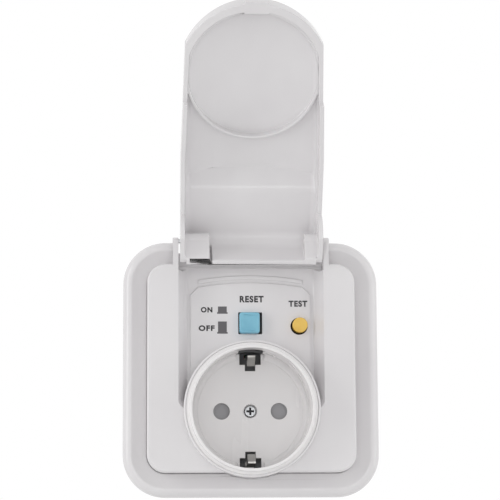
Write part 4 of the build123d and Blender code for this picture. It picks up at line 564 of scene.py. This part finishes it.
# Cover screw: a bright steel pan head with a cross recess, sunk in a ring in the floor of the well.
# Its recess and the ring round it are painted with shade: the steel darkens to grey deeper than the head's
# face.
# Depths behind the head's face between which shade is painted onto the screw.
SCREW_SHADE_START = 0.1
SCREW_SHADE_FULL = 0.5
screw_face = finish("cover screw steel", PAINTED_DEPTH_SHADE, {
    "Colour": linear(186, 187, 189), "Drift colour": linear(172, 173, 176),
    "Painted shade colour": linear(72, 72, 74),
    "Unshaded until": SCREW_SHADE_START * MM, "Fully shaded from": SCREW_SHADE_FULL * MM, "Gloss": 0.25}, bump=0.15, metallic=1.0)
dress(screw_face, "cover_screw")

# Earth strap: nickel plated brass spring strip, folded so that its two ends stand in the notches.
# Its middle is a disc round the screw's boss, and its tail runs down to the earth terminal.
nickel_strip = finish("nickel plated strip", METAL, {
    "Colour": linear(188, 187, 184), "Stain": linear(150, 147, 142), "Gloss": 0.3}, metallic=1.0)
dress(nickel_strip, "earth_strap")

# Support ring and spreading claws: stamped steel, bright zinc plated, with plain steel screws.
# The ring is screwed to the wall box through its slots, and the claws swing out on stub pivots.
zinc_steel = finish("zinc plated steel", METAL, {
    "Colour": linear(196, 199, 202), "Stain": linear(160, 164, 172), "Stain amount": 0.7, "Gloss": 0.3},
    bump=0.2, metallic=1.0)
dress(zinc_steel, "support_ring", "claw_left", "claw_right")
dress(drawn_steel, "ring_screws", "claw_screws", "housing_screws", "terminal_screws")

# Base housing, rear cover and inner carriers: grey thermoset with a coarse, dull, speckled skin.
# The carriage and the lever that move inside are moulded from the same material, and the rear cover is
# screwed to posts in the base.
base_moulding = finish("grey thermoset", MOULDED, {
    "Colour": linear(104, 105, 107), "Drift colour": linear(88, 89, 91), "Drift": 0.8, "Gloss": 0.46,
    "Gloss spread": 0.16, "Grain scale": 1400.0}, bump=0.35, relief=0.08)
dress(base_moulding, "base_housing", "rear_cover", "contact_carrier", "contact_carriage", "coil_bobbin",
      "latch_lever")

# Notch guards: two short curved walls of the same grey thermoset, behind the earth notches of the well.
# Each stands just outside the well's wall, from a little in front of its floor to behind it, and keeps dust
# and light from coming round the base.
GUARD_IN = 19.6
GUARD_OUT = 20.3
GUARD_HALF = 5.0
GUARD_FRONT = -1.6
GUARD_BACK = 5.6
GUARD_SEGMENTS = 16
GUARD_EDGE = 0.12
GUARD_EDGE_SEGMENTS = 2
ROUND_PROFILE = 0.5


def notch_guard(name, side):
    """A curved wall behind one notch, with its edges a little rounded."""
    half = math.asin(GUARD_HALF / GUARD_OUT)
    profile = ((GUARD_IN, GUARD_FRONT), (GUARD_OUT, GUARD_FRONT),
               (GUARD_OUT, GUARD_BACK), (GUARD_IN, GUARD_BACK))
    rings = []
    for index in range(GUARD_SEGMENTS + 1):
        angle = half * (2 * index / GUARD_SEGMENTS - 1)
        rings.append([Vector((radius * math.sin(angle), depth, SOCKET_Z + side * radius * math.cos(angle)))
                      for radius, depth in profile])
    shape = bridged(rings)
    rims = [line for line in shape.edges if line.calc_face_angle(0.0) > math.radians(EDGE_ANGLE)]
    bmesh.ops.bevel(shape, geom=rims, offset=GUARD_EDGE * MM, segments=GUARD_EDGE_SEGMENTS,
                    affect="EDGES", profile=ROUND_PROFILE)
    return add_shape(name, shape, base_moulding, "housing")


notch_guard("notch_guard_top", 1)
notch_guard("notch_guard_bottom", -1)

# Sleeves, terminals, bars and contacts: brass where screws and pins press, bare copper where current runs.
# The sprung sleeves are riveted to their carrier, and each terminal clamps its wire with a screw from below.
brass_part = finish("turned brass", METAL, {
    "Colour": linear(212, 178, 104), "Stain": linear(170, 132, 74), "Gloss": 0.26}, bump=0.2, metallic=1.0)
bare_copper = finish("bare copper strip", METAL, {
    "Colour": linear(204, 124, 84), "Stain": linear(150, 84, 56), "Stain amount": 0.6, "Gloss": 0.3},
    bump=0.15, metallic=1.0)
dress(brass_part, "live_sleeve", "neutral_sleeve", "terminal_live", "terminal_neutral", "terminal_earth")
dress(bare_copper, "live_bar", "neutral_bar", "moving_contact_live", "moving_contact_neutral", "test_leaf")

# Summation transformer and trip coil: enamelled wire laid turn by turn on a ring core and on a bobbin.
# The turns show as rounded ridges, with shade painted dark in the creases between them. The ring core, the
# coil's yoke and its plunger are bare soft iron.
WIRE_PITCH = 0.32
RING_TURNS = 120.0
WOUND_CLOUD = 300.0
WOUND_DULL = 0.3
WOUND_POLISH_RANGE = (0.35, 0.7)
TURN_WANDER = 0.25
RIDGE_RANGE = (0.1, 0.6)


def wound_surface():
    """Enamelled wire laid side by side: the coordinate counts turns, and each turn is a rounded ridge."""
    group, start, end = surface_group("Wound wire surface", {
        "Turn": 0.0, "Colour": (0.5, 0.2, 0.1, 1.0), "Crease shade colour": (0.1, 0.04, 0.02, 1.0), "Gloss": 0.22})
    place = object_place(group)
    cloud = noise(group, place, WOUND_CLOUD)
    wander = work(group, "ADD", start.outputs["Turn"], work(group, "MULTIPLY", cloud, TURN_WANDER))
    ridge = work(group, "ABSOLUTE", work(group, "SINE", work(group, "MULTIPLY", wander, math.pi)))
    # Painted shade: the wire's colour darkens in the creases between neighbouring turns.
    shade = spread(group, ridge, *RIDGE_RANGE)
    colour = blend(group, shade, start.outputs["Crease shade colour"], start.outputs["Colour"])
    dull = work(group, "ADD", start.outputs["Gloss"], WOUND_DULL)
    group.links.new(colour, end.inputs["Colour"])
    polish = spread(group, cloud, *WOUND_POLISH_RANGE, start.outputs["Gloss"], dull)
    group.links.new(polish, end.inputs["Roughness"])
    group.links.new(ridge, end.inputs["Height"])
    return group


def wound_finish(name, count_turns):
    """Enamelled wire on a former. The turns are counted by the function that is handed in."""
    made = finish(name, WOUND, {
        "Colour": linear(196, 104, 60), "Crease shade colour": linear(74, 34, 22)}, bump=0.7, relief=0.12,
        metallic=1.0, coat=0.6)
    tree = made.node_tree
    surface = [node for node in tree.nodes if node.type == "GROUP"][0]
    axes = tree.nodes.new("ShaderNodeSeparateXYZ")
    tree.links.new(object_place(tree), axes.inputs["Vector"])
    tree.links.new(count_turns(tree, axes), surface.inputs["Turn"])
    return made


def turns_along_y(tree, axes):
    """Turns of a coil that lies front to back."""
    return work(tree, "DIVIDE", axes.outputs["Y"], WIRE_PITCH * MM)


def turns_round_z(tree, axes):
    """Turns of a winding that goes round an upright ring core."""
    low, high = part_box("transformer_winding")
    across = work(tree, "SUBTRACT", axes.outputs["X"], (low[0] + high[0]) / 2)
    deep = work(tree, "SUBTRACT", axes.outputs["Y"], (low[1] + high[1]) / 2)
    angle = work(tree, "ARCTAN2", deep, across)
    return work(tree, "MULTIPLY", angle, RING_TURNS / math.tau)


WOUND = wound_surface()
dress(wound_finish("trip coil wire", turns_along_y), "coil_winding")
dress(wound_finish("transformer wire", turns_round_z), "transformer_winding")
relay_iron = finish("relay iron", METAL, {
    "Colour": linear(176, 176, 172), "Stain": linear(134, 132, 126), "Stain amount": 0.7, "Gloss": 0.34},
    bump=0.2, metallic=1.0)
dress(relay_iron, "coil_yoke", "trip_plunger", "transformer_core")

# Circuit board: green lacquered laminate with copper tracks under the lacquer, and its soldered parts.
# It stands between the stops of the base and the posts of the rear cover.
TRACK_WIDE = 2.2
TRACK_TALL = 1.3
TRACK_LINE = 0.12
TRACK_TURN = 90.0
WEAVE_SCALE = 2400.0
WEAVE_RANGE = (0.3, 0.7)
BOARD_DULL = 0.2


def board_surface():
    """Board lacquer over woven glass, with paler lines where tracks run under it."""
    group, start, end = surface_group("Board surface", {
        "Colour": (0.02, 0.1, 0.04, 1.0), "Track colour": (0.05, 0.2, 0.07, 1.0), "Gloss": 0.3})
    place = object_place(group)
    turned = group.nodes.new("ShaderNodeMapping")
    turned.inputs["Rotation"].default_value = (math.radians(TRACK_TURN), 0, 0)
    group.links.new(place, turned.inputs["Vector"])
    tracks = group.nodes.new("ShaderNodeTexBrick")
    tracks.inputs["Scale"].default_value = 1.0
    tracks.inputs["Brick Width"].default_value = TRACK_WIDE * MM
    tracks.inputs["Row Height"].default_value = TRACK_TALL * MM
    tracks.inputs["Mortar Size"].default_value = TRACK_LINE * MM
    group.links.new(turned.outputs["Vector"], tracks.inputs["Vector"])
    weave = noise(group, place, WEAVE_SCALE, detail=1.0)
    colour = blend(group, tracks.outputs["Fac"], start.outputs["Colour"], start.outputs["Track colour"])
    dull = work(group, "ADD", start.outputs["Gloss"], BOARD_DULL)
    group.links.new(colour, end.inputs["Colour"])
    polish = spread(group, weave, *WEAVE_RANGE, start.outputs["Gloss"], dull)
    group.links.new(polish, end.inputs["Roughness"])
    group.links.new(work(group, "ADD", weave, tracks.outputs["Fac"]), end.inputs["Height"])
    return group


board_lacquer = finish("board lacquer", board_surface(), {
    "Colour": linear(30, 92, 58), "Track colour": linear(64, 132, 84)}, bump=0.3, coat=0.3)
chip_epoxy = finish("chip epoxy", MOULDED, {
    "Colour": linear(38, 38, 40), "Drift colour": linear(52, 52, 54), "Drift": 0.8, "Gloss": 0.45},
    bump=0.25)
varistor_coat = finish("varistor coating", MOULDED, {
    "Colour": linear(48, 92, 164), "Drift colour": linear(38, 76, 142), "Gloss": 0.3}, coat=0.3)
can_sleeve = finish("capacitor sleeve", MOULDED, {
    "Colour": linear(46, 50, 62), "Drift colour": linear(38, 42, 52), "Gloss": 0.28}, coat=0.3)
resistor_body = finish("resistor body", MOULDED, {
    "Colour": linear(206, 176, 132), "Drift colour": linear(188, 156, 112), "Gloss": 0.4})
dress(board_lacquer, "circuit_board")
dress(chip_epoxy, "control_chip")
dress(varistor_coat, "varistor")
dress(can_sleeve, "capacitor")
dress(resistor_body, "resistors")

# Floor, light and camera: a pale paper floor, white round about, a soft box at each side and one in front.
# The camera stands low in front of the socket and looks up at it, as in the photograph. Its turns are in
# radians.
FLOOR_Z = -150 * MM
FLOOR_HALF = 2.5
FLOOR_COLOUR = (0.86, 0.86, 0.86, 1.0)
FLOOR_ROUGHNESS = 0.9
FLOOR_LIFT = 0.3
SKY_COLOUR = (1.0, 1.0, 1.0, 1.0)
SKY_LEVEL = 0.72
SOFT_BOXES = {
    "left box": ((-0.85, -0.40, 0.10), (0.22, 0.9), 2.4),
    "right box": ((0.90, -0.25, 0.10), (0.14, 0.9), 1.6),
    "front box": ((-0.05, -0.98, -0.32), (0.9, 0.6), 5.2),
}
TARGET = Vector((0.0, 0.0, 0.03))
CAMERA_PLACE = Vector((-30.4 * MM, -642.5 * MM, -53.1 * MM))
YAW = 0.0476
PITCH = 0.1519
ROLL = -0.0055
SENSOR = 36.0
LENS = 139.9
NEAREST = 10.0


def seen_directly(tree):
    """1 for what the camera sees, also through gloss and glass, and 0 for light on the object."""
    path = tree.nodes.new("ShaderNodeLightPath")
    seen = work(tree, "MAXIMUM", path.outputs["Is Camera Ray"], path.outputs["Is Glossy Ray"])
    return work(tree, "MAXIMUM", seen, path.outputs["Is Transmission Ray"])


def floor_finish():
    """Matt paper that takes the shadow, lifted a little towards white where it is seen."""
    made = bpy.data.materials.new("paper")
    made.use_nodes = True
    tree = made.node_tree
    shader = tree.nodes["Principled BSDF"]
    shader.inputs["Base Color"].default_value = FLOOR_COLOUR
    shader.inputs["Roughness"].default_value = FLOOR_ROUGHNESS
    lift = tree.nodes.new("ShaderNodeEmission")
    tree.links.new(work(tree, "MULTIPLY", seen_directly(tree), FLOOR_LIFT), lift.inputs["Strength"])
    both = tree.nodes.new("ShaderNodeAddShader")
    tree.links.new(shader.outputs["BSDF"], both.inputs[0])
    tree.links.new(lift.outputs["Emission"], both.inputs[1])
    tree.links.new(both.outputs["Shader"], tree.nodes["Material Output"].inputs["Surface"])
    return made


def soft_box(name, place, size, power):
    """An area light of a given width and height, aimed at the socket."""
    lamp = bpy.data.lights.new(name, "AREA")
    lamp.shape = "RECTANGLE"
    lamp.size = size[0]
    lamp.size_y = size[1]
    lamp.energy = power
    made = bpy.data.objects.new(name, lamp)
    bpy.context.scene.collection.objects.link(made)
    made.location = place
    made.rotation_euler = (TARGET - made.location).to_track_quat("-Z", "Y").to_euler()


paper = bpy.data.meshes.new("floor")
paper.from_pydata(
    [(-FLOOR_HALF, -FLOOR_HALF, FLOOR_Z), (FLOOR_HALF, -FLOOR_HALF, FLOOR_Z),
     (FLOOR_HALF, FLOOR_HALF, FLOOR_Z), (-FLOOR_HALF, FLOOR_HALF, FLOOR_Z)],
    [], [(0, 1, 2, 3)])
paper.materials.append(floor_finish())
floor = bpy.data.objects.new("floor", paper)
bpy.context.scene.collection.objects.link(floor)

world = bpy.data.worlds.new("studio")
bpy.context.scene.world = world
world.use_nodes = True
sky = world.node_tree.nodes["Background"]
sky.inputs["Color"].default_value = SKY_COLOUR
sky_strength = spread(world.node_tree, seen_directly(world.node_tree), 0.0, 1.0, SKY_LEVEL, 1.0)
world.node_tree.links.new(sky_strength, sky.inputs["Strength"])
for box_name, values in SOFT_BOXES.items():
    soft_box(box_name, *values)

ahead = Vector((math.sin(YAW) * math.cos(PITCH), math.cos(YAW) * math.cos(PITCH), math.sin(PITCH)))
right = Vector((math.cos(YAW), -math.sin(YAW), 0.0))
up = right.cross(ahead)
rolled_right = math.cos(ROLL) * right + math.sin(ROLL) * up
rolled_up = -math.sin(ROLL) * right + math.cos(ROLL) * up
lens = bpy.data.cameras.new("camera")
lens.sensor_width = SENSOR
lens.lens = LENS
lens.clip_start = NEAREST * MM
camera = bpy.data.objects.new("camera", lens)
bpy.context.scene.collection.objects.link(camera)
camera.matrix_world = (Matrix.Translation(CAMERA_PLACE)
                       @ Matrix((rolled_right, rolled_up, -ahead)).transposed().to_4x4())
bpy.context.scene.camera = camera
bpy.context.scene.view_settings.view_transform = "Standard"
